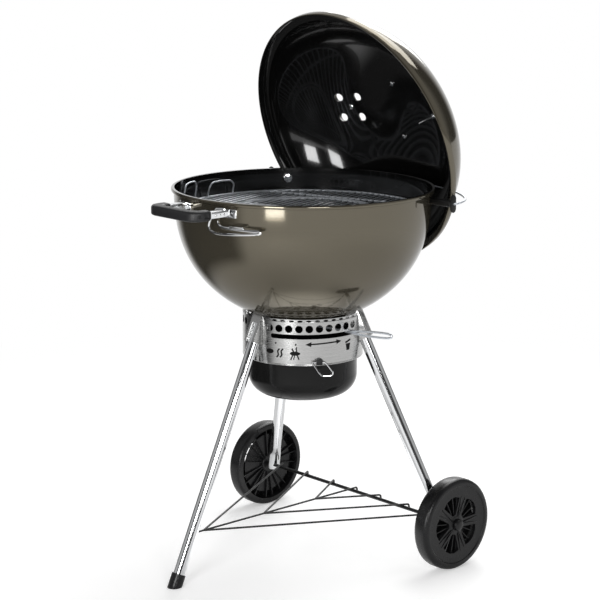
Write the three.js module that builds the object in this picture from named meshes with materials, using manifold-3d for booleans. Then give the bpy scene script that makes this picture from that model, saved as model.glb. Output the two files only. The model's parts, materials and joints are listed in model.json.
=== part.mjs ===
// Kettle charcoal grill on a tripod with two wheels, its lid tucked behind the bowl.
// Millimetres, +Z up, worked out about the bowl's axis with the floor at zero.
import * as THREE from "three";
import { mergeVertices } from "three/addons/utils/BufferGeometryUtils.js";
import Module from "manifold-3d";

const wasm = await Module();
wasm.setup();

// Running gaps and faceting
const seatGap = 0.3;
const runningGap = 0.6;
const overrun = 4;
const fullTurn = 360;
const roundFacets = 40;
const smallFacets = 12;
const midFacets = 32;
const wireFacets = 6;
const barFacets = 4;

// Bowl
const rimHeight = 829;
const bowlRadius = 281.4;
const bowlDepth = 299;
const bowlDepthPowerShare = 2.488;
const bowlRadiusPowerShare = 1.881;
const bowlSheet = 2;
const bowlBottom = rimHeight - bowlDepth;
const lipReach = 5.6;
const lipRadius = bowlRadius + lipReach;
const lipHeight = 8;
const ventInnerRadius = 30;
const ventOuterRadius = 80;
const ventSpanAngle = 46;
const ventCount = 3;

// Lid, described with its rim plane level and its dome upwards
const lidLipClearance = 6;
const lidRimRadius = lipRadius + lidLipClearance;
const lidRimSheet = 3.5;
const lidRimDepth = 15;
const lidStep = 16;
const lidRadius = lidRimRadius - lidStep;
const lidDepth = 160;
const lidDepthPowerShare = 1.8;
const lidRadiusPowerShare = 3.3;
const lidSheet = 2;
const lidSeatDrop = 10;
const lidHover = 30;
const lidPivotShare = 0.42265;
const lidPivotX = lipRadius * lidPivotShare;
const lidPivotDrop = 45;
const lidTuckAngle = 70.75;

// Lid damper
const damperOffset = 145;
const damperHoleRadius = 10;
const damperHoleAcross = 49;
const damperHoleAlong = 50;
const damperRadius = 47;
const damperSheet = 1.2;
const damperDish = 1.2;
const damperKnobWidth = 16;
const damperKnobHeight = 14;
const rivetRadius = 3.2;
const rivetHeadRadius = 6.5;
const rivetHeadHeight = 2.5;

// Lid handle, heat shield and thermometer
const handleBoltSpacing = 130;
const handleBoltRadius = 3;
const handleBoltHeadRadius = 6.5;
const handleBoltHeadHeight = 4;
const handleBoltReach = 14;
const handleRise = 46;
const handleBarWidth = 30;
const handleBarThickness = 18;
const handleFootLength = 26;
const handleOverhang = 14;
const shieldSheet = 1.5;
const shieldWidth = 62;
const shieldRise = 17;
const shieldEdge = 10;
const gaugeOffset = 117;
const gaugeRadius = 25;
const gaugeHeight = 13;
const gaugeStemRadius = 2.2;
const gaugeStemLength = 46;
const gaugeNutRadius = 7;
const gaugeNutHeight = 5;

// Ash ring, control plate and its slot
const ringRadius = 132.6;
const ringSheet = 1.5;
const ringDrop = 73;
const ringBottom = bowlBottom - ringDrop;
const plateSheet = 1.5;
const plateInset = 2;
const plateBottom = ringBottom + plateInset;
const plateHeight = 94;
const plateTop = plateBottom + plateHeight;
const plateStartAngle = -168;
const plateEndAngle = -70;
const airHoleCount = 38;
const airHoleRadius = 8.2;
const airHoleRise = 8;
const airHoleHeight = bowlBottom + airHoleRise;
const plateHoleCount = 10;
const legKeepShare = 1.4;
const plateHoleStartAngle = -164.3;
const slotDrop = 9;
const slotHeight = bowlBottom - slotDrop;
const slotWidth = 10;
const slotStartAngle = -163;
const slotEndAngle = -77;
const windowBorder = 7;

// Sweeper and its lever
const sweeperShaftRadius = 5;
const bladeOuterRadius = 92;
const bladeHubRadius = 22;
const bladeSpanAngle = 38;
const bladeLeadAngle = 20;
const bladeSheet = 1.5;
const leverAngle = -80;
const leverReach = 240;
const leverWire = 5;
const leverEyeRadius = 9;
const leverEyeHeight = 6;
const leverLoopHeight = 11;
const leverLoopStandoff = 8.4;
const leverLoopStart = ringRadius + leverLoopStandoff;
const leverTipRise = 5;

// Ash pot and its latch
const potInset = 12.2;
const potRadius = ringRadius - potInset;
const potLipRise = 31;
const potTop = ringBottom + potLipRise;
const potDepth = 120.6;
const potBottom = potTop - potDepth;
const potSheet = 2;
const potCorner = 46;
const potLipHeight = 8;
const latchAngle = -124;
const latchRise = 10;
const latchHeight = ringBottom + latchRise;
const latchWire = 3.6;
const latchTopWidth = 28;
const latchDrop = 31;
const latchSkew = 18;
const latchClipWidth = 13;
const latchClipShare = 0.55;
const latchClipHeight = 12;
const latchClipWall = 2;
const latchStandoff = 5;

// Legs, foot, wheels and axle
const legRadius = 12.5;
const legWall = 1.5;
const legInset = 1.8;
const legSocketRadius = ringRadius - legInset;
const legSocketDrop = 3.3;
const legSocketHeight = bowlBottom - legSocketDrop;
const wheelLegAngle = 61.15;
const legTopRise = 15;
const legTopHeight = bowlBottom + legTopRise;
const socketDrop = 30;
const socketLowHeight = bowlBottom - socketDrop;
const socketWidth = 31;
const socketSlotWidth = 17;
const socketSlotRise = 12;
const footReach = 368.6;
const footCapLength = 26;
const footCapWall = 2.5;
const footSoleClearance = 10;
const axleX = 160.5;
const wheelRadius = 101.6;
const axleHeight = wheelRadius;
const axleRadius = 4;
const legTabY = 277.9;
const legTabWidth = 28;
const legTabThickness = 5;
const legTabLength = 46;
const wheelWidth = 38;
const wheelStandoff = 31.6;
const wheelCentreY = legTabY + wheelStandoff;
const treadThickness = 12;
const wheelWeb = 6;
const wheelHubRadius = 21;
const spokeCount = 5;
const spokeWidth = 26;
const rimFaceWidth = 37.6;
const windowOuterRadius = wheelRadius - rimFaceWidth;
const ribThickness = 4;
const axleStub = 2;
const hubCapRadius = 13;
const hubCapLength = 9;

// Wire rack between the legs
const rackWire = 4.5;
const rackTailOverhang = 9;
const rackNoseInset = 67.6;
const rackNoseX = rackNoseInset - footReach;
const rackInset = 13;
const rackVertexShares = [0, 0.373, 0.71];
const rackHalfWidths = [258, 169, 78.6];

// Bowl handle with its brackets, and the tool hook
const gripDrop = 22;
const gripHeight = rimHeight - gripDrop;
const gripThickness = 22;
const gripWidth = 24;
const gripReach = 84;
const gripOuterX = -lipRadius - gripReach;
const gripHalfLength = 78;
const gripEndReach = 35;
const gripEndX = -lipRadius - gripEndReach;
const gripCorner = 26;
const strapThickness = 3;
const strapWidth = 18;
const strapHeight = 14;
const strapY = 66;
const strapFlange = 26;
const hookWire = 4.5;
const hookStandoff = 13;
const hookDrop = 54;
const hookTabAngle = -160;
const hookTabShare = 0.664;
const hookTabLength = 34;
const hookRouteShares = [
  [-165.5, 0],
  [-168, 0],
  [-170, 0.03],
  [-171.5, 0.28],
  [-173.4, 0.55],
  [-174, 0.78],
  [-172.6, 0.93],
  [-169.8, 1],
  [-162.3, 0.97],
  [-155.2, 0.92],
  [-150.6, 0.87],
  [-148.9, 0.82],
  [-150.4, 0.77],
  [-154, 0.78],
  [-161.2, 0.76],
  [-167.2, 0.73],
  [-168.6, 0.66],
  [-168.8, 0.48],
];

// Lid holder: two posts with end plates and a hoop behind the bowl
const holderX = 161;
const holderDrop = 23;
const holderHeight = rimHeight - holderDrop;
const holderTubeRadius = 8;
const holderStandoff = 5;
const holderPlateY = lipRadius + holderStandoff;
const holderPlateThickness = 3;
const holderPlateWidth = 15;
const holderPlateHeight = 39;
const holderPlateShift = 4;
const holderBoltReach = 12;
const hoopShares = [
  [0, 1],
  [0.08, 1],
  [0.24, 0.965],
  [0.47, 0.875],
  [0.8, 0.58],
  [0.96, 0.26],
  [1, 0],
];
const hoopWire = 5;
const holderBoltRadius = 3;
const holderBoltHeadRadius = 7.5;
const holderBoltHeadHeight = 3.5;

// Grates
const grateDrop = 51;
const grateHeight = rimHeight - grateDrop;
const grateInset = 11.4;
const grateRadius = bowlRadius - grateInset;
const grateWire = 4;
const grateRimWire = 6;
const gratePitch = 24;
const grateTurnAngle = 17;
const insertShare = 0.55556;
const insertRadius = grateRadius * insertShare;
const insertRimWire = 6;
const insertPitch = 24;
const flapHingeShare = 0.64815;
const flapHinge = grateRadius * flapHingeShare;
const flapEyeShare = 4.5;
const eyeLength = 7;
const loopWidth = 76;
const loopSlant = 10;
const loopInset = 8;
const grateLoopHeight = 34;
const grateLoopShares = [[93, 1], [121, 1.35], [-87, 1], [-59, 1]];
const tabCount = 4;
const tabWidth = 20;
const tabDepth = 16;
const tabHeight = 10;
const tabSheet = 2.5;
const charcoalDrop = 189;
const charcoalHeight = rimHeight - charcoalDrop;
const charcoalWire = 7;
const charcoalPitch = 38;
const charcoalClearance = 0.5;

// Small helpers

const rad = THREE.MathUtils.degToRad;
const polar = (radius, angle, z = 0) =>
  new THREE.Vector3(radius * Math.cos(rad(angle)), radius * Math.sin(rad(angle)), z);

// A closed geometry as a solid that can be cut and joined.
function solid(geometry) {
  const bare = geometry.index ? geometry.toNonIndexed() : geometry.clone();
  bare.deleteAttribute("normal");
  bare.deleteAttribute("uv");
  const merged = mergeVertices(bare, 1e-4);
  return new wasm.Manifold(
    new wasm.Mesh({
      numProp: 3,
      vertProperties: merged.attributes.position.array,
      triVerts: new Uint32Array(merged.index.array),
    }),
  );
}

function geometryOf(shape) {
  const mesh = shape.getMesh();
  const geometry = new THREE.BufferGeometry();
  geometry.setAttribute("position", new THREE.BufferAttribute(mesh.vertProperties, 3));
  geometry.setIndex(new THREE.BufferAttribute(mesh.triVerts, 1));
  const flat = geometry.toNonIndexed();
  flat.computeVertexNormals();
  return flat;
}

const joined = (solids) => solids.reduce((all, next) => all.add(next));

// A solid of revolution about Z from [radius, height] pairs.
function turned(profile, facets = roundFacets) {
  const points = profile.map(([r, z]) => new THREE.Vector2(r, z));
  if (THREE.ShapeUtils.area(points) < 0) points.reverse();
  const onAxis = points.filter((p) => p.x === 0).length;
  if (onAxis === 0) points.push(points[0].clone());
  while (onAxis > 0 && !(points[0].x === 0 && points[points.length - 1].x === 0)) {
    points.push(points.shift());
  }
  return solid(new THREE.LatheGeometry(points, facets).rotateX(Math.PI / 2));
}

const tube = (outer, inner, low, high, facets = roundFacets) =>
  turned([[inner, low], [outer, low], [outer, high], [inner, high]], facets);

const disc = (radius, low, high, facets = roundFacets) =>
  turned([[0, low], [radius, low], [radius, high], [0, high]], facets);

// A flat outline in XY raised from low to high.
function raised(outline, low, high) {
  const shape = new THREE.Shape(outline.map(([x, y]) => new THREE.Vector2(x, y)));
  const geometry = new THREE.ExtrudeGeometry(shape, { depth: high - low, bevelEnabled: false });
  return solid(geometry.translate(0, 0, low));
}

// A wedge of a circle, from one angle to another, for cutting round pieces.
function wedge(start, end, radius, low, high) {
  const reach = radius / Math.cos(rad((end - start) / 4));
  const outline = [[0, 0]];
  for (const share of [0, 0.5, 1]) {
    const p = polar(reach, start + (end - start) * share);
    outline.push([p.x, p.y]);
  }
  return raised(outline, low, high);
}

// A straight round bar from one point to another.
function rod(from, to, radius, facets = wireFacets) {
  const along = to.clone().sub(from);
  const turn = new THREE.Quaternion().setFromUnitVectors(
    new THREE.Vector3(0, 1, 0),
    along.clone().normalize(),
  );
  const middle = from.clone().add(to).multiplyScalar(0.5);
  const geometry = new THREE.CylinderGeometry(radius, radius, along.length(), facets);
  return solid(geometry.applyQuaternion(turn).translate(middle.x, middle.y, middle.z));
}

// A bent wire through points, its corners rounded.
function wire(points, thickness, steps, facets = wireFacets) {
  const path = new THREE.CatmullRomCurve3(points, false, "centripetal");
  const section = new THREE.Shape();
  section.absarc(0, 0, thickness / 2, 0, 2 * Math.PI);
  return solid(
    new THREE.ExtrudeGeometry(section, { steps, extrudePath: path, curveSegments: facets / 2 }),
  );
}

const hoopRing = (radius, thickness, z, facets = roundFacets) =>
  solid(new THREE.TorusGeometry(radius, thickness / 2, barFacets, facets).translate(0, 0, z));

function block(centre, size, turn = 0) {
  const geometry = new THREE.BoxGeometry(size.x, size.y, size.z).rotateZ(rad(turn));
  return solid(geometry.translate(centre.x, centre.y, centre.z));
}

const vec = (x, y, z) => new THREE.Vector3(x, y, z);

// Finishes

const finish = (color, roughness, metalness) =>
  new THREE.MeshStandardMaterial({ color, roughness, metalness });

const finishes = {
  shell: () => finish(0x70695c, 0.3, 0.5),
  enamel: () => finish(0x0a0a0a, 0.2, 0.1),
  pot: () => finish(0x232323, 0.2, 0.2),
  aluminium: () => finish(0xc2c2c0, 0.4, 0.9),
  chrome: () => finish(0xd8d8d8, 0.12, 1),
  steelWire: () => finish(0xb4b6b8, 0.3, 0.9),
  blackWire: () => finish(0x151515, 0.4, 0.3),
  plastic: () => finish(0x2a2a2b, 0.55, 0),
  grip: () => finish(0x3c3c3e, 0.5, 0),
  iron: () => finish(0x5a5c5e, 0.5, 0.8),
  dial: () => finish(0xe8e8e4, 0.3, 0),
};

const grill = new THREE.Group();
const lid = new THREE.Group();
grill.add(lid);

function piece(name, shape, look, parent = grill) {
  const mesh = new THREE.Mesh(geometryOf(shape), finishes[look]());
  mesh.name = name;
  parent.add(mesh);
}

// Bowl surface: a quarter of a superellipse, from the rim down to the axis.

const profileShares = [0, 0.06, 0.13, 0.21, 0.3, 0.4, 0.51, 0.61, 0.7, 0.83, 0.93, 1];

function domeProfile(radius, depth, depthPower, radiusPower) {
  return profileShares.map((share) => {
    const across = share === 1 ? 0 : Math.cos((share * Math.PI) / 2) ** (2 / radiusPower);
    const down = Math.sin((share * Math.PI) / 2) ** (2 / depthPower);
    return [radius * across, depth * down];
  });
}

const bowlProfile = (inset) =>
  domeProfile(
    bowlRadius - inset,
    bowlDepth - inset,
    bowlDepthPowerShare,
    bowlRadiusPowerShare,
  ).map(([r, depth]) => [r, rimHeight - depth]);

// The height of a profile at a radius, and its radius at a height.
function heightOn(profile, radius) {
  const next = profile.findIndex(([r], i) => i > 0 && r <= radius);
  const [r0, z0] = profile[next - 1];
  const [r1, z1] = profile[next];
  return z0 + ((z1 - z0) * (radius - r0)) / (r1 - r0);
}

function radiusOn(profile, z) {
  const towards = Math.sign(profile[1][1] - profile[0][1]);
  const next = profile.findIndex(([, height], i) => i > 0 && (height - z) * towards >= 0);
  const [r0, z0] = profile[next - 1];
  const [r1, z1] = profile[next];
  return r0 + ((r1 - r0) * (z - z0)) / (z1 - z0);
}

const bowlSurface = (radius, inset = 0) => heightOn(bowlProfile(inset), radius);
const bowlWidthAt = (z, inset = 0) => radiusOn(bowlProfile(inset), z);

// How far the flats of a faceted round lie inside its corners.
const flatShare = Math.cos(Math.PI / roundFacets);

// The outside of the bowl, grown a little, for cutting what seats against it.
const bowlSeat = (clearance) =>
  turned([...bowlProfile(-clearance), [0, rimHeight]]);

function makeBowl() {
  const outer = bowlProfile(0).slice(1);
  const inner = bowlProfile(bowlSheet).reverse();
  const chamfer = lipHeight / 6;
  const lip = [
    [bowlRadius - bowlSheet, rimHeight],
    [lipRadius - chamfer, rimHeight],
    [lipRadius, rimHeight - chamfer],
    [lipRadius, rimHeight - lipHeight + chamfer],
    [lipRadius - chamfer, rimHeight - lipHeight],
    [bowlWidthAt(rimHeight - lipHeight), rimHeight - lipHeight],
  ];
  let bowl = turned([...inner.slice(0, -1), ...lip, ...outer]);
  for (let i = 0; i < ventCount; i++) bowl = bowl.subtract(bottomVent((i * fullTurn) / ventCount));
  const shaftHole = sweeperShaftRadius + runningGap;
  bowl = bowl.subtract(disc(shaftHole, rimHeight - bowlDepth * 2, rimHeight, smallFacets));
  for (const side of [-1, 1]) bowl = bowl.subtract(holderBoltHole(side));
  piece("bowl", bowl, "shell");
}

function bottomVent(angle) {
  const outline = [];
  for (const share of [-0.5, -0.25, 0, 0.25, 0.5]) {
    const p = polar(ventOuterRadius, angle + ventSpanAngle * share);
    outline.push([p.x, p.y]);
  }
  for (const share of [0.5, 0, -0.5]) {
    const p = polar(ventInnerRadius, angle + ventSpanAngle * share);
    outline.push([p.x, p.y]);
  }
  return raised(outline, rimHeight - bowlDepth * 2, rimHeight);
}

// Lid: its pieces are placed in the lid's own frame, the rim plane at zero.

const lidProfile = (inset) =>
  domeProfile(lidRadius - inset, lidDepth - inset, lidDepthPowerShare, lidRadiusPowerShare);

// Height of the lid's surface above its rim plane at the given radius.
const lidSurface = (radius, inset = 0) => heightOn(lidProfile(inset), radius);

// The lid swings from just above its seat on the bowl's lip back to where it hangs.
function placeLid() {
  const pivot = vec(lidPivotX, 0, rimHeight - lidPivotDrop);
  const closed = vec(0, 0, rimHeight - lidSeatDrop + lidHover).sub(pivot);
  const turn = new THREE.Matrix4().makeRotationY(rad(lidTuckAngle));
  lid.position.copy(closed.applyMatrix4(turn).add(pivot));
  lid.rotation.y = rad(lidTuckAngle);
}

function makeLidShell() {
  const step = lidRimDepth + lidSheet;
  const above = ([, z]) => z > step + lidSheet;
  const outer = lidProfile(0).filter(above);
  const inner = lidProfile(lidSheet).filter(above).reverse();
  const wall = (inset, z) => radiusOn(lidProfile(inset), z);
  let shell = turned([
    ...inner,
    [wall(lidSheet, lidRimDepth), lidRimDepth],
    [lidRimRadius - lidRimSheet, lidRimDepth],
    [lidRimRadius - lidRimSheet, 0],
    [lidRimRadius, 0],
    [lidRimRadius, step],
    [wall(0, step), step],
    ...outer,
  ]);
  for (const [x, y] of damperHoles()) {
    shell = shell.subtract(disc(damperHoleRadius, 0, lidDepth * 2, smallFacets).translate([x, y, 0]));
  }
  const drill = (x, y, radius) =>
    disc(radius + seatGap, lidRimDepth, lidDepth * 2, smallFacets).translate([x, y, 0]);
  for (const [offset, radius] of [[damperOffset, rivetRadius], [-gaugeOffset, gaugeStemRadius]]) {
    const bore = disc(radius + seatGap, -overrun * 2, overrun * 2, smallFacets);
    shell = shell.subtract(onLidSlope(bore, offset));
  }
  for (const side of [-1, 1]) {
    shell = shell.subtract(drill((side * handleBoltSpacing) / 2, 0, handleBoltRadius));
  }
  piece("lid_shell", shell, "shell", lid);
}

const damperHoles = () => {
  const holes = [];
  for (const i of [-0.5, 0.5]) {
    for (const j of [-0.5, 0.5]) {
      holes.push([i * damperHoleAlong, damperOffset + j * damperHoleAcross]);
    }
  }
  return holes;
};

// The lid's slope under the damper, and a solid laid flat on it there.
const lidSlope = (radius) => {
  const step = radius / 100;
  return Math.atan2(lidSurface(radius - step) - lidSurface(radius + step), 2 * step);
};

function onLidSlope(shape, offset) {
  const tilt = THREE.MathUtils.radToDeg(lidSlope(Math.abs(offset)));
  const turn = -Math.sign(offset) * tilt;
  return shape.rotate([turn, 0, 0]).translate([0, offset, lidSurface(Math.abs(offset))]);
}

function makeDamper() {
  const dropAt = (radius) => -damperDish * (radius / damperRadius) ** 2;
  const shares = [0, 0.25, 0.5, 0.75, 1];
  const under = shares.map((share) => [damperRadius * share, dropAt(damperRadius * share)]);
  const over = under.map(([r, z]) => [r, z + damperSheet]).reverse();
  let damper = turned([...under, ...over], roundFacets / 2).translate([0, 0, runningGap]);
  for (const [x, y] of damperHoles()) {
    const hole = disc(damperHoleRadius, -damperKnobHeight, damperKnobHeight, smallFacets);
    damper = damper.subtract(hole.translate([x, y - damperOffset, 0]));
  }
  const knobPlace = vec(0, damperRadius - damperKnobWidth / 2, damperKnobHeight / 2);
  const knob = block(knobPlace, vec(damperKnobWidth, damperSheet * 2, damperKnobHeight));
  damper = damper.add(knob).subtract(
    disc(rivetRadius + seatGap, -damperKnobHeight, damperKnobHeight, smallFacets),
  );
  piece("lid_damper", onLidSlope(damper, damperOffset), "aluminium", lid);
}

// The lid's wall measured square to its surface at an offset from the middle.
function lidWallAt(offset) {
  const upright = lidSurface(offset) - lidSurface(offset, lidSheet);
  return upright * Math.cos(lidSlope(offset));
}

function makeDamperRivet() {
  const top = damperSheet + runningGap + seatGap;
  const under = -lidWallAt(damperOffset) - runningGap;
  const rivet = turned([
    [0, under - rivetHeadHeight],
    [rivetHeadRadius, under - rivetHeadHeight],
    [rivetHeadRadius, under],
    [rivetRadius, under],
    [rivetRadius, top],
    [rivetHeadRadius, top],
    [rivetHeadRadius, top + rivetHeadHeight],
    [0, top + rivetHeadHeight],
  ], smallFacets);
  piece("damper_rivet", onLidSlope(rivet, damperOffset), "chrome", lid);
}

const handleSeat = () => lidSurface(handleBoltSpacing / 2 - handleFootLength / 2) + seatGap;

// A bridge-shaped outline in XZ, given its width along Y.
function bridge(outline, width) {
  const lying = raised(outline, -width / 2, width / 2);
  return lying.rotate([90, 0, 0]);
}

function makeLidHandle() {
  const seat = handleSeat();
  const outer = handleBoltSpacing / 2 + handleFootLength / 2;
  const inner = handleBoltSpacing / 2 - handleFootLength / 2;
  const top = seat + handleRise + handleBarThickness / 2;
  const under = top - handleBarThickness;
  const half = [
    [inner, seat],
    [outer, seat],
    [outer + handleOverhang / 4, top - handleBarThickness],
    [outer, top - handleBarThickness / 3],
    [outer - handleOverhang, top],
  ];
  const mirror = half.map(([x, z]) => [-x, z]).reverse();
  const haunch = handleOverhang / 2;
  const arch = [
    [-inner, under - haunch],
    [-inner + haunch, under],
    [inner - haunch, under],
    [inner, under - haunch],
  ];
  let handle = bridge([...half, ...mirror, ...arch], handleBarWidth);
  for (const side of [-1, 1]) {
    const bore = disc(
      handleBoltRadius + seatGap,
      seat - overrun,
      seat + handleBoltReach + seatGap,
      smallFacets,
    );
    handle = handle.subtract(bore.translate([(side * handleBoltSpacing) / 2, 0, 0]));
  }
  piece("lid_handle", handle, "grip", lid);
}

function makeHandleBolts() {
  const seat = handleSeat();
  const edge = handleBoltSpacing / 2 + handleBoltHeadRadius;
  const inside = lidSurface(edge, lidSheet) - seatGap;
  const bolt = () => turned([
    [0, inside - handleBoltHeadHeight],
    [handleBoltHeadRadius, inside - handleBoltHeadHeight],
    [handleBoltHeadRadius, inside],
    [handleBoltRadius, inside],
    [handleBoltRadius, seat + handleBoltReach],
    [0, seat + handleBoltReach],
  ], smallFacets);
  for (const [name, side] of [["upper", -1], ["lower", 1]]) {
    const x = (side * handleBoltSpacing) / 2;
    piece(`lid_handle_bolt_${name}`, bolt().translate([x, 0, 0]), "chrome", lid);
  }
}

function makeHeatShield() {
  const length = handleBoltSpacing - handleFootLength - 2 * seatGap;
  const z = handleSeat() + shieldRise;
  const flat = block(vec(0, 0, z), vec(length, shieldWidth, shieldSheet));
  const edges = [-1, 1].map((side) => {
    const y = (side * (shieldWidth - shieldSheet)) / 2;
    return block(vec(0, y, z - shieldEdge / 2), vec(length, shieldSheet, shieldEdge));
  });
  piece("lid_heat_shield", joined([flat, ...edges]), "aluminium", lid);
}

function makeThermometer() {
  const rim = gaugeRadius * 0.9;
  const housing = turned([
    [0, -lidSheet - gaugeStemLength],
    [gaugeStemRadius, -lidSheet - gaugeStemLength],
    [gaugeStemRadius, seatGap],
    [rim, seatGap],
    [gaugeRadius, gaugeHeight / 4],
    [gaugeRadius, gaugeHeight * 0.8],
    [rim, gaugeHeight],
    [rim * 0.9, gaugeHeight],
    [rim * 0.9, gaugeHeight * 0.8],
    [0, gaugeHeight * 0.8],
  ], roundFacets / 2);
  piece("lid_thermometer", onLidSlope(housing, -gaugeOffset), "chrome", lid);
  const nutTop = -lidWallAt(gaugeOffset) - runningGap;
  const bore = (gaugeStemRadius + seatGap) / Math.cos(Math.PI / 6);
  const nut = tube(gaugeNutRadius, bore, nutTop - gaugeNutHeight, nutTop, 6);
  piece("thermometer_nut", onLidSlope(nut, -gaugeOffset), "chrome", lid);
}

// Ash ring under the bowl, with the control plate in front of it

const holeStep = fullTurn / airHoleCount;

// A round hole through a wall of the given radius, at an angle and a height.
function wallHole(radius, wall, angle, z, facets = 8) {
  const inner = polar(wall - overrun, angle, z);
  const outer = polar(wall + overrun, angle, z);
  return rod(inner, outer, radius, facets);
}

function makeAshRing() {
  const inner = ringRadius - ringSheet;
  let ring = tube(ringRadius, inner, ringBottom, rimHeight - bowlDepth / 2);
  ring = ring.subtract(bowlSeat(seatGap));
  const plateSpan = (angle) => angle > plateStartAngle - holeStep && angle < plateEndAngle + holeStep;
  for (let i = 0; i < airHoleCount; i++) {
    const angle = plateHoleStartAngle + i * holeStep;
    const turned360 = angle > fullTurn / 2 ? angle - fullTurn : angle;
    const reach = holeStep * legKeepShare;
    const nearLeg = legAngles.some((leg) => Math.abs(angleBetween(turned360, leg)) < reach);
    if (plateSpan(turned360) || nearLeg) continue;
    ring = ring.subtract(wallHole(airHoleRadius, ringRadius, turned360, airHoleHeight));
  }
  ring = ring.subtract(
    wedge(
      slotStartAngle,
      slotEndAngle,
      ringRadius + overrun,
      slotHeight - slotWidth / 2 - windowBorder,
      airHoleHeight + airHoleRadius,
    ),
  );
  for (const angle of legAngles) ring = ring.subtract(socketSpace(angle));
  piece("ash_ring", ring, "aluminium");
}

const angleBetween = (a, b) =>
  THREE.MathUtils.euclideanModulo(a - b + fullTurn / 2, fullTurn) - fullTurn / 2;

function makeControlPlate() {
  const inner = ringRadius + seatGap;
  const outer = inner + plateSheet;
  let plate = tube(outer, inner, plateBottom, plateTop);
  plate = plate.intersect(wedge(plateStartAngle, plateEndAngle, outer + overrun, plateBottom, plateTop));
  for (let i = 0; i < plateHoleCount; i++) {
    const angle = plateHoleStartAngle + i * holeStep;
    plate = plate.subtract(wallHole(airHoleRadius, ringRadius, angle, airHoleHeight));
  }
  plate = plate.subtract(
    wedge(
      slotStartAngle,
      slotEndAngle,
      outer + overrun,
      slotHeight - slotWidth / 2,
      slotHeight + slotWidth / 2,
    ),
  );
  piece("control_plate", plate, "aluminium");
}

// Sweeper: three blades on the bowl's floor, turned by a lever through the slot.

function makeSweeper() {
  const under = bowlSheet + seatGap;
  const shares = [0, 0.2, 0.4, 0.6, 0.8, 1];
  const low = shares.map((share) => {
    const r = bladeOuterRadius * share;
    return [r, bowlSurface(r, under)];
  });
  const high = low.map(([r, z]) => [r, z + bladeSheet]).reverse();
  const sheet = turned([...low, ...high]);
  const base = rimHeight - bowlDepth;
  const star = [disc(bladeHubRadius, base, rimHeight, smallFacets)];
  for (let i = 0; i < ventCount; i++) {
    const middle = leverAngle + bladeLeadAngle + (i * fullTurn) / ventCount;
    star.push(
      wedge(middle - bladeSpanAngle / 2, middle + bladeSpanAngle / 2, bladeOuterRadius, base, rimHeight),
    );
  }
  const blades = sheet.intersect(joined(star));
  const eyeLow = slotHeight - leverEyeHeight / 2;
  const shaft = disc(sweeperShaftRadius, eyeLow - seatGap, low[0][1] + bladeSheet / 2, smallFacets);
  const head = disc(leverEyeRadius, eyeLow - seatGap - bladeSheet, eyeLow - seatGap, smallFacets);
  piece("sweeper", joined([blades, shaft, head]), "iron");
}

function makeLever() {
  const eyeLow = slotHeight - leverEyeHeight / 2;
  const eye = tube(
    leverEyeRadius,
    sweeperShaftRadius + seatGap,
    eyeLow,
    eyeLow + leverEyeHeight,
    smallFacets,
  );
  const stemStart = (leverEyeRadius + sweeperShaftRadius) / 2;
  const stem = rod(
    polar(stemStart, leverAngle, slotHeight),
    polar(leverLoopStart, leverAngle, slotHeight),
    leverWire / 2,
  );
  const rise = leverLoopHeight / 2;
  const place = (share, up) => {
    const radius = leverLoopStart + (leverReach - leverLoopStart) * share;
    return polar(radius, leverAngle, slotHeight + leverTipRise * share + rise * up);
  };
  const loop = wire([
    place(-0.04, 0.52),
    place(0.2, 0.8),
    place(0.6, 1),
    place(0.93, 0.9),
    place(1, 0),
    place(0.93, -0.9),
    place(0.6, -1),
    place(0.2, -0.8),
    place(-0.04, -0.52),
  ], leverWire, 22);
  piece("vent_lever", joined([eye, stem, loop]), "steelWire");
}

// Ash pot and the latch that holds it

function makeAshPot() {
  const corner = (inset) => [0, 0.25, 0.5, 0.75, 1].map((share) => {
    const angle = (share * Math.PI) / 2;
    const bend = potCorner - inset;
    return [
      potRadius - potCorner + bend * Math.sin(angle),
      potBottom + potCorner - bend * Math.cos(angle),
    ];
  });
  const lipRadiusHere = (ringRadius - ringSheet) * flatShare - seatGap;
  const lipLow = potTop - potLipHeight;
  const pot = turned([
    [0, potBottom],
    ...corner(0),
    [potRadius, lipLow - potLipHeight],
    [lipRadiusHere, lipLow],
    [lipRadiusHere, potTop],
    [lipRadiusHere - potSheet, potTop],
    [lipRadiusHere - potSheet, lipLow],
    [potRadius - potSheet, lipLow - potLipHeight],
    ...corner(potSheet).reverse(),
    [0, potBottom + potSheet],
  ], midFacets);
  piece("ash_pot", pot, "pot");
}

// A point in front of the control plate: along the wall, out from it and down from the latch.
function atLatch(along, out, down) {
  const wall = ringRadius + seatGap + plateSheet;
  const base = polar(wall + out, latchAngle, latchHeight - down);
  const tangent = polar(1, latchAngle + 90);
  return base.add(tangent.multiplyScalar(along));
}

function makeLatch() {
  const radius = latchWire / 2;
  const hinge = latchStandoff;
  const loop = wire([
    atLatch(radius, hinge, 0),
    atLatch(latchSkew - radius, hinge + radius, latchDrop * 0.84),
    atLatch(latchSkew + latchTopWidth * 0.3, hinge + radius, latchDrop),
    atLatch(latchSkew + latchTopWidth * 0.8, hinge + radius, latchDrop * 0.98),
    atLatch(latchSkew + latchTopWidth, hinge + radius, latchDrop * 0.82),
    atLatch(latchTopWidth - radius, hinge, 0),
  ], latchWire, 18);
  const pin = rod(
    atLatch(-radius, hinge, 0),
    atLatch(latchTopWidth + radius, hinge, 0),
    radius,
  );
  piece("pot_latch", joined([loop, pin]), "chrome");
}

function makeLatchClip() {
  const radius = latchWire / 2;
  const depth = latchStandoff + radius + latchClipWall;
  const centre = atLatch(latchTopWidth * latchClipShare, seatGap + depth / 2, 0);
  const turn = latchAngle + 90;
  const body = block(centre, vec(latchClipWidth, depth, latchClipHeight), turn);
  const bore = rod(
    atLatch(-latchWire, latchStandoff, 0),
    atLatch(latchTopWidth + latchWire, latchStandoff, 0),
    radius + seatGap,
    smallFacets,
  );
  piece("latch_clip", body.subtract(bore), "plastic");
}

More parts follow.
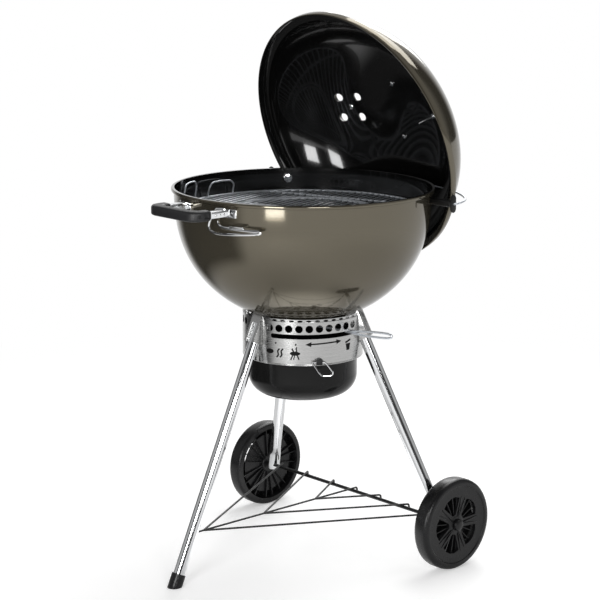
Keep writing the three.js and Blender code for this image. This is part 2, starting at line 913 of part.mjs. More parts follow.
// Tripod legs: a line from the foot or axle end up to the bowl's underside

const legAngles = [180, -wheelLegAngle, wheelLegAngle];
const legNames = ["foot", "near_wheel", "far_wheel"];

function legLine(angle) {
  const top = polar(legSocketRadius, angle, legSocketHeight);
  const low = Math.abs(angle) === 180
    ? vec(-footReach, 0, 0)
    : vec(axleX, Math.sign(angle) * legTabY, axleHeight);
  const rise = (z) => low.clone().lerp(top, (z - low.z) / (top.z - low.z));
  return rise;
}

// Whatever stands along a leg, from one height to another, as a block on its line.
function alongLeg(angle, lowZ, highZ, width, depth, sideways = 0) {
  const rise = legLine(angle);
  const low = rise(lowZ);
  const high = rise(highZ);
  const up = high.clone().sub(low);
  const z = up.clone().normalize();
  const out = polar(1, angle);
  const y = z.clone().cross(out).normalize();
  const x = y.clone().cross(z);
  const frame = new THREE.Matrix4().makeBasis(x, y, z);
  const middle = low.add(high).multiplyScalar(0.5).add(x.clone().multiplyScalar(sideways));
  frame.setPosition(middle);
  return solid(new THREE.BoxGeometry(depth, width, up.length()).applyMatrix4(frame));
}

// The opening that a leg's socket needs in the ring, open to the bowl above it.
function socketSpace(angle) {
  const width = socketWidth + 2 * runningGap;
  const space = alongLeg(angle, socketLowHeight - legRadius, rimHeight, width, width + 2 * overrun);
  const middle = polar(ringRadius, angle, (legSocketHeight + rimHeight) / 2);
  const height = rimHeight - legSocketHeight;
  return space.add(block(middle, vec(2 * overrun + ringSheet, width, height), angle));
}

function legTube(angle, lowZ, highZ, radius, facets = 16) {
  const rise = legLine(angle);
  return rod(rise(lowZ), rise(highZ), radius, facets);
}

function makeSocket(angle, name) {
  const full = alongLeg(angle, socketLowHeight, rimHeight - bowlDepth / 2, socketWidth, socketWidth);
  const bore = legTube(angle, socketLowHeight - legRadius, rimHeight, legRadius + seatGap);
  const front = alongLeg(
    angle,
    socketLowHeight - legRadius,
    legSocketHeight + socketSlotRise,
    socketSlotWidth,
    socketWidth,
    socketWidth / 2,
  );
  piece(`leg_socket_${name}`, full.subtract(bore).subtract(front).subtract(bowlSeat(seatGap)), "iron");
}

function makeLeg(angle, name) {
  const isFoot = Math.abs(angle) === 180;
  const low = isFoot ? footSoleClearance : axleHeight + legTabLength / 2;
  const bore = legTube(angle, low - legTabLength, legTopHeight + legTabLength, legRadius - legWall);
  let leg = legTube(angle, low, legTopHeight, legRadius).subtract(bore);
  if (isFoot) {
    leg = leg.subtract(rackNoseBore());
  } else {
    const tab = alongLeg(
      angle,
      axleHeight - legTabWidth / 2,
      axleHeight + legTabLength,
      legTabWidth,
      legTabThickness,
    );
    const y = Math.sign(angle) * legTabY;
    const hole = axleBar(y - legTabLength, y + legTabLength, axleRadius + seatGap);
    leg = leg.add(tab).subtract(hole);
  }
  piece(`leg_${name}`, leg, "chrome");
}

function makeFootCap() {
  const outer = legTube(180, -footCapLength, footCapLength, legRadius + seatGap + footCapWall);
  const bore = legTube(180, footSoleClearance - seatGap, rimHeight / 2, legRadius + seatGap);
  const ground = block(
    vec(-footReach, 0, -footReach / 2),
    vec(footReach, footReach, footReach),
  );
  piece("foot_cap", outer.subtract(bore).subtract(ground), "plastic");
}

// Axle, wheels and hub caps

const axleBar = (fromY, toY, radius, facets = smallFacets) =>
  rod(vec(axleX, fromY, axleHeight), vec(axleX, toY, axleHeight), radius, facets);

const axleHalf = wheelCentreY + wheelWidth / 2 + axleStub;

function makeAxle() {
  piece("axle", axleBar(-axleHalf, axleHalf, axleRadius), "blackWire");
}

// A wheel lying flat, its outer face up, turned about Z.
function wheelBlank() {
  const half = wheelWidth / 2;
  const chamfer = treadThickness / 3;
  const inner = wheelRadius - treadThickness;
  let wheel = turned([
    [wheelHubRadius, -half + treadThickness / 3],
    [wheelHubRadius, half - wheelWeb - chamfer],
    [inner, half - wheelWeb - chamfer],
    [inner, -half],
    [wheelRadius - chamfer, -half],
    [wheelRadius, -half + chamfer],
    [wheelRadius, half - chamfer],
    [wheelRadius - chamfer, half],
    [inner, half],
    [inner - chamfer, half - chamfer],
    [wheelHubRadius, half - chamfer],
    [wheelHubRadius - chamfer, half - chamfer / 2],
    [axleRadius + seatGap, half - chamfer / 2],
    [axleRadius + seatGap, -half + treadThickness / 3],
  ], midFacets);
  for (let i = 0; i < spokeCount; i++) {
    wheel = wheel.subtract(wheelWindow((i + 0.5) * (fullTurn / spokeCount)));
    wheel = wheel.add(wheelRib(i * (fullTurn / spokeCount)));
  }
  return wheel;
}

function wheelWindow(angle) {
  const middle = (wheelHubRadius + windowOuterRadius) / 2;
  const spread = THREE.MathUtils.radToDeg(spokeWidth / 2 / windowOuterRadius);
  const innerSpread = THREE.MathUtils.radToDeg(spokeWidth / 2 / (wheelHubRadius + spokeCount));
  const half = 180 / spokeCount;
  const corners = [
    polar(windowOuterRadius, angle - half + spread),
    polar(windowOuterRadius * 1.05, angle),
    polar(windowOuterRadius, angle + half - spread),
    polar(middle * 0.75, angle + (half - innerSpread) * 0.9),
    polar(middle * 0.75, angle - (half - innerSpread) * 0.9),
  ];
  return raised(corners.map((p) => [p.x, p.y]), -wheelWidth, wheelWidth);
}

function wheelRib(angle) {
  const inner = wheelHubRadius - overrun / 2;
  const outer = wheelRadius - treadThickness / 2;
  const half = wheelWidth / 2;
  const low = -half + treadThickness / 2;
  const high = half - wheelWeb;
  const centre = polar((inner + outer) / 2, angle, (low + high) / 2);
  return block(centre, vec(outer - inner, ribThickness, high - low), angle);
}

function makeWheel(name, side) {
  const lying = wheelBlank().rotate([-side * 90, 0, 0]);
  const wheel = lying.translate([axleX, side * wheelCentreY, axleHeight]);
  piece(`wheel_${name}`, wheel, "plastic");
}

function makeHubCap(name, side) {
  const face = wheelCentreY + wheelWidth / 2 - treadThickness / 6 + runningGap;
  const crown = hubCapRadius * 0.7;
  const cap = turned([
    [0, axleHalf + seatGap],
    [axleRadius + seatGap, axleHalf + seatGap],
    [axleRadius + seatGap, face],
    [hubCapRadius, face],
    [hubCapRadius, face + hubCapLength / 2],
    [crown, face + hubCapLength],
    [0, face + hubCapLength],
  ], roundFacets / 2);
  const turnedCap = cap.rotate([-side * 90, 0, 0]);
  piece(`hub_cap_${name}`, turnedCap.translate([axleX, 0, axleHeight]), "plastic");
}

// Wire rack between the foot leg and the axle

const rackHeight = axleHeight + axleRadius + seatGap + rackWire / 2;

const rackNoseEnd = () => legLine(180)(rackHeight).x;

function rackNoseBore() {
  const from = vec(rackNoseEnd(), 0, rackHeight);
  const to = vec(rackNoseX, 0, rackHeight);
  return rod(from, to, rackWire / 2 + runningGap);
}

function makeRack() {
  const back = axleX + axleRadius + rackTailOverhang;
  const noseX = rackNoseEnd() + legWall;
  const bars = [rod(vec(noseX, 0, rackHeight), vec(back, 0, rackHeight), rackWire / 2, 6)];
  rackHalfWidths.forEach((half, i) => {
    const start = rackNoseX + rackInset + (axleX - rackNoseX) * rackVertexShares[i];
    for (const side of [-1, 1]) {
      const end = vec(back, side * half, rackHeight);
      bars.push(rod(vec(start, 0, rackHeight), end, rackWire / 2, 6));
    }
  });
  piece("bottom_rack", joined(bars), "blackWire");
}

// Bowl handle: a grip held off the wall by two straps, with a wire tool hook on one

function makeGrip() {
  const low = gripHeight - gripThickness / 2;
  const arc = (cx, cy, radius, start, end) => {
    const shares = [0, 0.33, 0.67, 1];
    return shares.map((share) => {
      const p = polar(radius, start + (end - start) * share);
      return [cx + p.x, cy + p.y];
    });
  };
  const half = [
    [gripEndX, gripHalfLength],
    ...arc(gripOuterX + gripCorner, gripHalfLength - gripCorner, gripCorner, 90, 180),
  ];
  const innerX = gripOuterX + gripWidth;
  const innerY = gripHalfLength - gripWidth;
  const inner = [
    [innerX, -innerY + gripCorner / 3],
    [innerX + gripCorner / 3, -innerY],
    [gripEndX, -innerY],
  ];
  const mirror = (points) => points.map(([x, y]) => [x, -y]).reverse();
  const outline = [...half, ...mirror(half), ...[...inner].reverse(), ...mirror([...inner].reverse())];
  piece("bowl_handle_grip", raised(outline, low, low + gripThickness), "grip");
}

function makeStrap(name, side) {
  const y = side * strapY;
  const inner = Math.sqrt(bowlRadius ** 2 - strapY ** 2);
  const low = gripHeight - strapHeight / 2;
  const length = -gripEndX - inner;
  const middle = vec(gripEndX + seatGap + length / 2, y, gripHeight);
  const arm = block(middle, vec(length, strapWidth, strapHeight));
  const angle = 180 - THREE.MathUtils.radToDeg(Math.asin(y / bowlRadius));
  const spread = THREE.MathUtils.radToDeg(strapFlange / bowlRadius);
  const flange = tube(
    bowlRadius + strapThickness + seatGap,
    bowlRadius - bowlSheet,
    low - strapThickness,
    low + strapHeight + strapThickness / 3,
  ).intersect(
    wedge(angle - spread, angle + spread, lipRadius + overrun, low - strapHeight, rimHeight),
  );
  const strap = arm.add(flange).subtract(bowlSeat(seatGap));
  piece(`bowl_handle_strap_${name}`, strap, "chrome");
}

const hookTop = gripHeight + strapHeight / 2 + runningGap + hookWire / 2;

function makeToolHook() {
  const radius = bowlRadius + hookStandoff;
  const place = ([angle, share]) => polar(radius, angle, hookTop - hookDrop * share);
  piece("tool_hook", wire(hookRouteShares.map(place), hookWire, 36), "chrome");
}

function makeHookTab() {
  const height = hookTop - hookDrop * hookTabShare;
  const centre = polar(bowlRadius + hookStandoff / 2, hookTabAngle, height);
  const size = vec(hookStandoff + bowlSheet * 2, hookTabLength, tabSheet);
  const tab = block(centre, size, hookTabAngle).subtract(bowlSeat(seatGap));
  piece("tool_hook_tab", tab, "chrome");
}

// Lid holder: a post and end plate on each side of the bowl, and a hoop behind

const holderWallY = () => Math.sqrt(bowlRadius ** 2 - holderX ** 2);
const holderAngle = () => THREE.MathUtils.radToDeg(Math.atan2(holderWallY(), holderX));

function holderBoltHole(side) {
  const angle = side * holderAngle();
  const radius = holderBoltRadius + seatGap;
  return rod(
    polar(bowlRadius - overrun * 2, angle, holderHeight),
    polar(bowlRadius + holderBoltReach + seatGap, angle, holderHeight),
    radius,
    smallFacets,
  );
}

function makeHolderArm(name, side) {
  const plateIn = holderPlateY - holderPlateThickness / 2;
  const start = vec(holderX, side * (holderWallY() - holderTubeRadius * 2), holderHeight);
  const end = vec(holderX, side * (plateIn + holderPlateThickness / 2), holderHeight);
  const post = rod(start, end, holderTubeRadius, 16);
  const straight = (holderPlateHeight - holderPlateWidth) / 2;
  const outline = [];
  for (const [sign, start0] of [[1, 0], [-1, 180]]) {
    for (const share of [0, 0.25, 0.5, 0.75, 1]) {
      const p = polar(holderPlateWidth / 2, start0 + 180 * share);
      outline.push([holderX + holderPlateShift + p.x, sign * straight + p.y + holderHeight]);
    }
  }
  const plate = raised(outline, -holderPlateThickness / 2, holderPlateThickness / 2)
    .rotate([90, 0, 0])
    .translate([0, side * holderPlateY, 0]);
  const arm = post.subtract(bowlSeat(seatGap)).add(plate).subtract(holderBoltHole(side));
  piece(`lid_holder_arm_${name}`, arm, "blackWire");
}

function makeHolderBolt(name, side) {
  const angle = side * holderAngle();
  const lowEdge = holderHeight - holderBoltHeadRadius;
  const inside = bowlWidthAt(lowEdge, bowlSheet) * flatShare - seatGap;
  const shank = rod(
    polar(inside - holderBoltHeadHeight / 2, angle, holderHeight),
    polar(bowlRadius + holderBoltReach, angle, holderHeight),
    holderBoltRadius,
  );
  const head = rod(
    polar(inside - holderBoltHeadHeight, angle, holderHeight),
    polar(inside, angle, holderHeight),
    holderBoltHeadRadius,
    smallFacets,
  );
  piece(`lid_holder_bolt_${name}`, shank.add(head), "chrome");
}

// How far a point in the lid's mid-plane is outside the tucked lid.
function distanceToLid(x, z) {
  const local = lid.worldToLocal(vec(x, 0, z));
  let nearest = Infinity;
  for (let i = 0; i < 200; i++) {
    const r = (lidRadius * i) / 200;
    nearest = Math.min(nearest, Math.hypot(local.x - r, local.z - lidSurface(r)));
  }
  return nearest;
}

// Where the hoop crosses the middle, just behind the dome that leans on it.
function hoopBack() {
  const wanted = hoopWire / 2 + runningGap;
  let inside = lidRimRadius;
  let outside = lidRimRadius * 2;
  for (let i = 0; i < 40; i++) {
    const middle = (inside + outside) / 2;
    const local = lid.worldToLocal(vec(middle, 0, holderHeight));
    const under = local.z < lidSurface(Math.min(Math.abs(local.x), lidRadius));
    if (under || distanceToLid(middle, holderHeight) < wanted) inside = middle;
    else outside = middle;
  }
  return outside;
}

function makeHoop() {
  const y = holderPlateY + holderPlateThickness / 2 + runningGap + hoopWire / 2;
  const back = hoopBack();
  const half = hoopShares.map(([along, across]) =>
    vec(holderX + (back - holderX) * along, y * across, holderHeight));
  const other = half.slice(0, -1).map((p) => vec(p.x, -p.y, p.z)).reverse();
  piece("lid_holder_hoop", wire([...half, ...other], hoopWire, 36), "steelWire");
}

// Grates

// Bars across a round rim, given how far each one may reach at its offset.
function gratingBars(pitch, reach, limit, radius, z, facets = barFacets) {
  const bars = [];
  const count = Math.floor(limit / pitch);
  for (let i = -count; i <= count; i++) {
    for (const [from, to] of reach(i * pitch)) {
      bars.push(rod(vec(from, i * pitch, z), vec(to, i * pitch, z), radius, facets));
    }
  }
  return bars;
}

const chord = (radius, offset) => Math.sqrt(Math.max(0, radius ** 2 - offset ** 2));

const turnGrate = (shape) => shape.rotate([0, 0, grateTurnAngle]);

const grateMiddle = grateRadius - grateRimWire / 2;
const insertSeatRadius = insertRadius + insertRimWire + seatGap;

function makeCookingGrate() {
  const span = block(vec(0, 0, grateHeight), vec(2 * flapHinge, 2 * lipRadius, grateRimWire * 2));
  const rim = hoopRing(grateMiddle, grateRimWire, grateHeight).intersect(span);
  const well = hoopRing(insertSeatRadius, grateRimWire, grateHeight);
  const parts = [rim, well];
  for (const side of [-1, 1]) {
    const reach = chord(grateMiddle, flapHinge);
    const x = side * flapHinge;
    parts.push(rod(vec(x, -reach, grateHeight), vec(x, reach, grateHeight), grateWire / 2, wireFacets));
  }
  const reach = (offset) => {
    const outer = Math.min(flapHinge, chord(grateMiddle, offset));
    const inner = chord(insertSeatRadius, offset);
    if (inner === 0) return [[-outer, outer]];
    return [[-outer, -inner], [inner, outer]];
  };
  parts.push(...gratingBars(gratePitch, reach, grateMiddle, grateWire / 2, grateHeight));
  for (const angle of [45, 135, 225, 315]) parts.push(insertLug(angle));
  const frame = turnGrate(joined(parts));
  piece("cooking_grate", frame, "steelWire");
}

// A small shelf under the well's rim that the insert rests on.
function insertLug(angle) {
  const low = grateHeight - grateRimWire / 2 - seatGap - grateWire;
  const shelfHigh = grateHeight - insertRimWire / 2 - seatGap;
  const inner = insertRadius - insertRimWire;
  const outer = insertSeatRadius + grateRimWire / 2;
  const shelfMiddle = polar((inner + outer) / 2, angle, (low + shelfHigh) / 2);
  const shelf = block(shelfMiddle, vec(outer - inner, grateWire, shelfHigh - low), angle);
  const postMiddle = polar(outer - grateWire / 2, angle, (low + grateHeight) / 2);
  const post = block(postMiddle, vec(grateWire, grateWire, grateHeight - low), angle);
  return shelf.add(post);
}

// A lifting loop welded on the grate's rim, leaning a little inwards.
function makeGrateLoop(name, angle, heightShare) {
  const radius = grateRadius - loopInset;
  const foot = grateHeight + grateRimWire / 2 + seatGap;
  const spread = THREE.MathUtils.radToDeg(loopWidth / 2 / radius);
  const slant = spread * (1 - (2 * loopSlant) / loopWidth);
  const top = grateHeight + grateLoopHeight * heightShare;
  const corner = loopSlant / 2;
  const loop = wire([
    polar(grateMiddle, angle - spread, foot),
    polar(grateMiddle, angle - spread, foot + grateWire),
    polar(radius, angle - spread, top - loopSlant),
    polar(radius, angle - slant, top - corner / 4),
    polar(radius, angle, top),
    polar(radius, angle + slant, top - corner / 4),
    polar(radius, angle + spread, top - loopSlant),
    polar(grateMiddle, angle + spread, foot + grateWire),
    polar(grateMiddle, angle + spread, foot),
  ], grateWire, 12);
  piece(name, loop, "steelWire");
}

function makeFlap(name, side) {
  const barX = flapHinge + grateWire + runningGap;
  const inner = barX;
  const reachY = chord(grateMiddle, barX);
  const span = block(
    vec(inner + lipRadius / 2, 0, grateHeight),
    vec(lipRadius, 2 * lipRadius, grateRimWire * 2),
  );
  const rim = hoopRing(grateMiddle, grateRimWire, grateHeight).intersect(span);
  const bar = rod(vec(barX, -reachY, grateHeight), vec(barX, reachY, grateHeight), grateWire / 2);
  const reach = (offset) => [[barX, chord(grateMiddle, offset)]];
  const bars = gratingBars(gratePitch, reach, reachY, grateWire / 2, grateHeight);
  const eyes = [-1, 1].map((end) => {
    const y = end * gratePitch * flapEyeShare;
    const ring = tube(grateWire * 1.3, grateWire / 2 + runningGap, -eyeLength / 2, eyeLength / 2, 8);
    return ring.rotate([90, 0, 0]).translate([flapHinge, y, grateHeight]);
  });
  const flap = joined([rim, bar, ...bars, ...eyes]);
  const turn = side > 0 ? 0 : 180;
  piece(`grate_flap_${name}`, turnGrate(flap.rotate([0, 0, turn])), "steelWire");
}

function makeInsert() {
  const middle = insertRadius - insertRimWire / 2;
  const reach = (offset) => [[-chord(middle, offset), chord(middle, offset)]];
  const bars = gratingBars(insertPitch, reach, middle, grateWire / 2, grateHeight);
  const rim = hoopRing(middle, insertRimWire, grateHeight);
  const cross = rod(
    vec(0, -middle, grateHeight),
    vec(0, middle, grateHeight),
    grateWire / 2,
    barFacets,
  );
  piece("grate_insert", turnGrate(joined([rim, cross, ...bars])), "steelWire");
}

// Where a wire ring of the given thickness rests against the inside of the bowl.
function restingRadius(z, thickness) {
  const step = thickness / 10;
  const inside = (height) => bowlWidthAt(height, bowlSheet);
  const slope = (inside(z + step) - inside(z - step)) / (2 * step);
  return inside(z) - (thickness / 2 + charcoalClearance) * Math.hypot(1, slope);
}

function makeCharcoalGrate() {
  const radius = restingRadius(charcoalHeight, charcoalWire);
  const reach = (offset) => [[-chord(radius, offset), chord(radius, offset)]];
  const bars = gratingBars(charcoalPitch, reach, radius, charcoalWire / 2, charcoalHeight);
  const rim = hoopRing(radius, charcoalWire, charcoalHeight);
  const cross = [-1, 1].map((side) => {
    const x = (side * radius) / 2;
    const y = chord(radius, x);
    return rod(vec(x, -y, charcoalHeight), vec(x, y, charcoalHeight), charcoalWire / 2, barFacets);
  });
  piece("charcoal_grate", turnGrate(joined([rim, ...bars, ...cross])), "iron");
}

// Tabs welded inside the bowl that the cooking grate rests on
function makeGrateTab(index) {
  const angle = grateTurnAngle + 45 + (index * fullTurn) / tabCount;
  const top = grateHeight - grateRimWire / 2 - seatGap;
  const wall = bowlWidthAt(top, bowlSheet);
  const shelf = block(
    polar(wall - tabDepth / 2 + overrun, angle, top - tabSheet / 2),
    vec(tabDepth + overrun, tabWidth, tabSheet),
    angle,
  );
  const flange = block(
    polar(wall - tabSheet / 2 - seatGap, angle, top - tabHeight / 2),
    vec(tabSheet, tabWidth, tabHeight),
    angle,
  );
  const inside = turned([...bowlProfile(bowlSheet + seatGap), [0, rimHeight]]);
  piece(`grate_tab_${index + 1}`, shelf.add(flange).intersect(inside), "enamel");
}

// The origin lies on the floor under the middle of the whole grill.
function standOnOrigin() {
  grill.updateMatrixWorld(true);
  const box = new THREE.Box3().setFromObject(grill, true);
  const middle = box.getCenter(new THREE.Vector3());
  for (const child of grill.children) child.position.sub(vec(middle.x, middle.y, box.min.z));
}

placeLid();
lid.updateMatrixWorld(true);
makeBowl();
makeLidShell();
makeDamper();
makeDamperRivet();
makeLidHandle();
makeHandleBolts();
makeHeatShield();
makeThermometer();
makeAshRing();
makeControlPlate();
makeSweeper();
makeLever();
makeAshPot();
makeLatch();
makeLatchClip();
legAngles.forEach((angle, i) => {
  makeSocket(angle, legNames[i]);
  makeLeg(angle, legNames[i]);
});
makeFootCap();
makeAxle();
for (const [name, side] of [["near", -1], ["far", 1]]) {
  makeWheel(name, side);
  makeHubCap(name, side);
  makeStrap(name, side);
  makeHolderArm(name, side);
  makeHolderBolt(name, side);
}
makeRack();
makeGrip();
makeToolHook();
makeHookTab();
makeHoop();
makeCookingGrate();
grateLoopShares.forEach(([angle, share], index) => {
  makeGrateLoop(`grate_loop_${index + 1}`, angle, share);
});
makeFlap("right", 1);
makeFlap("left", -1);
makeInsert();
makeCharcoalGrate();
for (let i = 0; i < tabCount; i++) makeGrateTab(i);
standOnOrigin();

export default grill;
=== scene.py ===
"""A kettle charcoal grill with its lid hung behind the bowl, in enamel, chrome, wire and nylon."""

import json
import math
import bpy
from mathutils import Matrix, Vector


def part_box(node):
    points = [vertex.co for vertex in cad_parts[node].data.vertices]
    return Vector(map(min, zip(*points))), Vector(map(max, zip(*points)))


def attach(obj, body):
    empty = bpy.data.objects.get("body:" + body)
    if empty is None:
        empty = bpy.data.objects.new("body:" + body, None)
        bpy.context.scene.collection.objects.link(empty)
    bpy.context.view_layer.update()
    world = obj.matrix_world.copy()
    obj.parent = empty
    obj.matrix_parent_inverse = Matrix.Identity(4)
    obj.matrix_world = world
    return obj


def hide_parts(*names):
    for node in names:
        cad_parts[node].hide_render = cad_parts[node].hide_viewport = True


bl_info = {
    "name": "Kettle Charcoal Grill",
    "version": (1, 0, 0),
    "blender": (4, 5, 0),
    "location": "View3D > Sidebar > Grill",
    "description": "Models and finishes a kettle grill around its fixed frame",
    "category": "Object",
}

import bpy
from mathutils import Matrix, Vector

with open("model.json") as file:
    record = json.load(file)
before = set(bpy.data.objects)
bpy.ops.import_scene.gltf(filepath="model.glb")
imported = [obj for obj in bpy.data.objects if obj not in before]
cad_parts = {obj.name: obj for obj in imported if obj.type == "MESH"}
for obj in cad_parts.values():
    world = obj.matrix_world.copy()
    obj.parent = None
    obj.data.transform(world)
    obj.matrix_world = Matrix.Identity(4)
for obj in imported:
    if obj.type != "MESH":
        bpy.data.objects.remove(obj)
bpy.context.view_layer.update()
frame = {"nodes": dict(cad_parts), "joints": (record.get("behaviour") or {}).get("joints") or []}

# Places that come from the frame

UP = Vector((0, 0, 1))
ORIGIN = Vector((0, 0, 0))


def box_middle(node):
    low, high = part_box(node)
    return (low + high) / 2


def box_size(node):
    low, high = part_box(node)
    return high - low


AXIS = Vector((box_middle("bowl").x, 0, 0))
BOWL_BOTTOM, RIM = (corner.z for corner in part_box("bowl"))
LIP_RADIUS = box_size("bowl").x / 2
RING_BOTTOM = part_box("ash_ring")[0].z
PLATE_BOTTOM, PLATE_TOP = (corner.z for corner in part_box("control_plate"))
AXLE = box_middle("axle")
WHEEL_RADIUS = box_size("wheel_near").z / 2
WHEEL_WIDTH = box_size("wheel_near").y
GRATE_HEIGHT = box_middle("grate_insert").z
CHARCOAL_HEIGHT = box_middle("charcoal_grate").z
LID_SWING = next(joint for joint in frame["joints"] if joint["name"] == "lid_swing")

# Fine sizes, in metres

SPIN_STEPS = 160
HOOP_SIDES = 10
CURVE_ROWS = 8
SEAT_GAP = 0.0003
LID_RIM_SPAN = 0.586
LID_HOVER = 0.02


def around(radius, angle):
    """X and Y of a point round Z, its angle in degrees."""
    turn = math.radians(angle)
    return radius * math.cos(turn), radius * math.sin(turn)


def polar(radius, angle, height=0.0):
    """A point round the bowl's axis, its angle in degrees."""
    return AXIS + Vector((*around(radius, angle), height))


def about(radius, height, steps):
    """Profile points given as steps outwards and up from one place."""
    return [(radius + out, height + up) for out, up in steps]


def lid_matrix():
    """Carries the lid from level, its rim plane at zero on the axis, to where it hangs."""
    pivot = Vector(LID_SWING["pos_m"])
    turn = Matrix.Rotation(math.radians(max(LID_SWING["range_deg"])), 4, "Y")
    level = Matrix.Translation((AXIS.x, 0, RIM + LID_HOVER))
    return Matrix.Translation(pivot) @ turn @ Matrix.Translation(-pivot) @ level


# Sizes and colours that a user would change


class GrillSizes(bpy.types.PropertyGroup):
    """Main sizes of the grill's shells, stand and wires."""

    bowl_radius: bpy.props.FloatProperty(
        name="Bowl radius",
        description="Outer radius of the bowl's wall under its lip",
        default=0.2814,
        unit="LENGTH",
    )
    bowl_sheet: bpy.props.FloatProperty(
        name="Bowl sheet",
        description="Thickness of the enamelled bowl",
        default=0.002,
        unit="LENGTH",
    )
    lip_height: bpy.props.FloatProperty(
        name="Lip height",
        description="Height of the rolled lip round the bowl's rim",
        default=0.008,
        unit="LENGTH",
    )
    lid_radius: bpy.props.FloatProperty(
        name="Lid radius",
        description="Outer radius of the lid's dome above its rim band",
        default=0.277,
        unit="LENGTH",
    )
    lid_depth: bpy.props.FloatProperty(
        name="Lid depth",
        description="Height of the lid's dome above its rim plane",
        default=0.16,
        unit="LENGTH",
    )
    lid_rim_depth: bpy.props.FloatProperty(
        name="Lid rim band",
        description="Depth of the band that goes over the bowl's lip",
        default=0.015,
        unit="LENGTH",
    )
    leg_radius: bpy.props.FloatProperty(
        name="Leg radius",
        description="Outer radius of a leg's tube",
        default=0.0125,
        unit="LENGTH",
    )
    grate_wire: bpy.props.FloatProperty(
        name="Grate wire",
        description="Diameter of the cooking grate's bars",
        default=0.004,
        unit="LENGTH",
    )
    rack_wire: bpy.props.FloatProperty(
        name="Rack wire",
        description="Diameter of the lower rack's wires",
        default=0.0045,
        unit="LENGTH",
    )


class GrillColours(bpy.types.PropertyGroup):
    """Colours of the grill's main finishes."""

    shell: bpy.props.FloatVectorProperty(
        name="Shell enamel",
        description="Smoke-grey enamel on the outside of the bowl and the lid",
        subtype="COLOR",
        default=(0.12, 0.106, 0.077),
    )
    inside: bpy.props.FloatVectorProperty(
        name="Inner enamel",
        description="Black enamel on the inside of the bowl and the lid",
        subtype="COLOR",
        default=(0.003, 0.003, 0.003),
    )
    pot: bpy.props.FloatVectorProperty(
        name="Pot enamel",
        description="Dark enamel on the ash pot",
        subtype="COLOR",
        default=(0.006, 0.006, 0.006),
    )
    grip: bpy.props.FloatVectorProperty(
        name="Grip nylon",
        description="Dark grey nylon on both handles",
        subtype="COLOR",
        default=(0.012, 0.012, 0.013),
    )


# Selecting and shaping in edit mode


def start():
    """Object mode with nothing selected."""
    if bpy.context.mode != "OBJECT":
        bpy.ops.object.mode_set(mode="OBJECT")
    bpy.ops.object.select_all(action="DESELECT")


def pick(*pieces):
    """Selects these pieces, the first of them active."""
    start()
    for piece in pieces:
        piece.select_set(True)
    bpy.context.view_layer.objects.active = pieces[0]


def edit(piece):
    """Edit mode on one piece with all of it selected."""
    pick(piece)
    bpy.ops.object.mode_set(mode="EDIT")
    bpy.ops.mesh.select_all(action="SELECT")


def done():
    bpy.ops.object.mode_set(mode="OBJECT")
    return bpy.context.view_layer.objects.active


def turned_out():
    """Leaves edit mode with all faces turned outwards."""
    bpy.ops.mesh.select_all(action="SELECT")
    bpy.ops.mesh.normals_make_consistent(inside=False)
    return done()


def applied():
    """The active piece, its place, turn and scale worked into its mesh."""
    bpy.ops.object.transform_apply(location=True, rotation=True, scale=True)
    return bpy.context.object


def tidy_mesh(piece, distance=1e-6):
    """Merges doubles and turns the faces outwards."""
    edit(piece)
    bpy.ops.mesh.remove_doubles(threshold=distance)
    return turned_out()


def extrude(*way):
    bpy.ops.mesh.extrude_region_move(TRANSFORM_OT_translate={"value": way})


def outline(points, closed=True):
    """A wire outline, drawn by extruding one vertex from point to point."""
    start()
    bpy.ops.mesh.primitive_plane_add(size=0.01)
    bpy.ops.object.mode_set(mode="EDIT")
    bpy.ops.mesh.select_all(action="SELECT")
    bpy.ops.mesh.merge(type="CENTER")
    path = [Vector(point) for point in points]
    if closed:
        path.append(path[0])
    bpy.ops.transform.translate(value=path[0])
    for here, there in zip(path, path[1:]):
        extrude(*(there - here))
    bpy.ops.mesh.select_all(action="SELECT")
    bpy.ops.mesh.remove_doubles(threshold=1e-7)
    return done()


def spun(profile, steps=SPIN_STEPS, closed=True, centre=AXIS):
    """A solid of revolution about an upright axis, from (radius, height) pairs."""
    points = [(centre[0] + radius, centre[1], height) for radius, height in profile]
    piece = outline(points, closed)
    edit(piece)
    bpy.ops.mesh.spin(steps=steps, angle=math.tau, center=centre, axis=(0, 0, 1))
    done()
    return tidy_mesh(piece, 1e-5)


def spun_here(profile, steps=SPIN_STEPS, closed=False):
    """The same about the world's own Z axis, for pieces that are placed afterwards."""
    return spun(profile, steps, closed, ORIGIN)


def prism(points, low, high):
    """A flat outline in XY raised from low to high."""
    piece = outline([(x, y, low) for x, y in points])
    edit(piece)
    bpy.ops.mesh.edge_face_add()
    extrude(0, 0, high - low)
    return turned_out()


def slab(centre, size, turn=0.0):
    """A rectangular block, turned about Z in degrees."""
    start()
    bpy.ops.mesh.primitive_cube_add(
        size=1, location=centre, rotation=(0, 0, math.radians(turn)), scale=size
    )
    return applied()


def rod(one, other, radius, sides=20):
    """A straight round bar between two points."""
    one, other = Vector(one), Vector(other)
    along = other - one
    start()
    bpy.ops.mesh.primitive_cylinder_add(
        vertices=sides,
        radius=radius,
        depth=along.length,
        location=(one + other) / 2,
        rotation=along.to_track_quat("Z", "Y").to_euler(),
    )
    return applied()


def upright(x, y, low, high, radius, sides):
    """A round bar along Z."""
    return rod((x, y, low), (x, y, high), radius, sides)


def ring(radius, wire_radius, height):
    """A round wire hoop about the bowl's axis."""
    start()
    bpy.ops.mesh.primitive_torus_add(
        location=AXIS + UP * height,
        major_radius=radius,
        minor_radius=wire_radius,
        major_segments=SPIN_STEPS,
        minor_segments=HOOP_SIDES,
    )
    return applied()


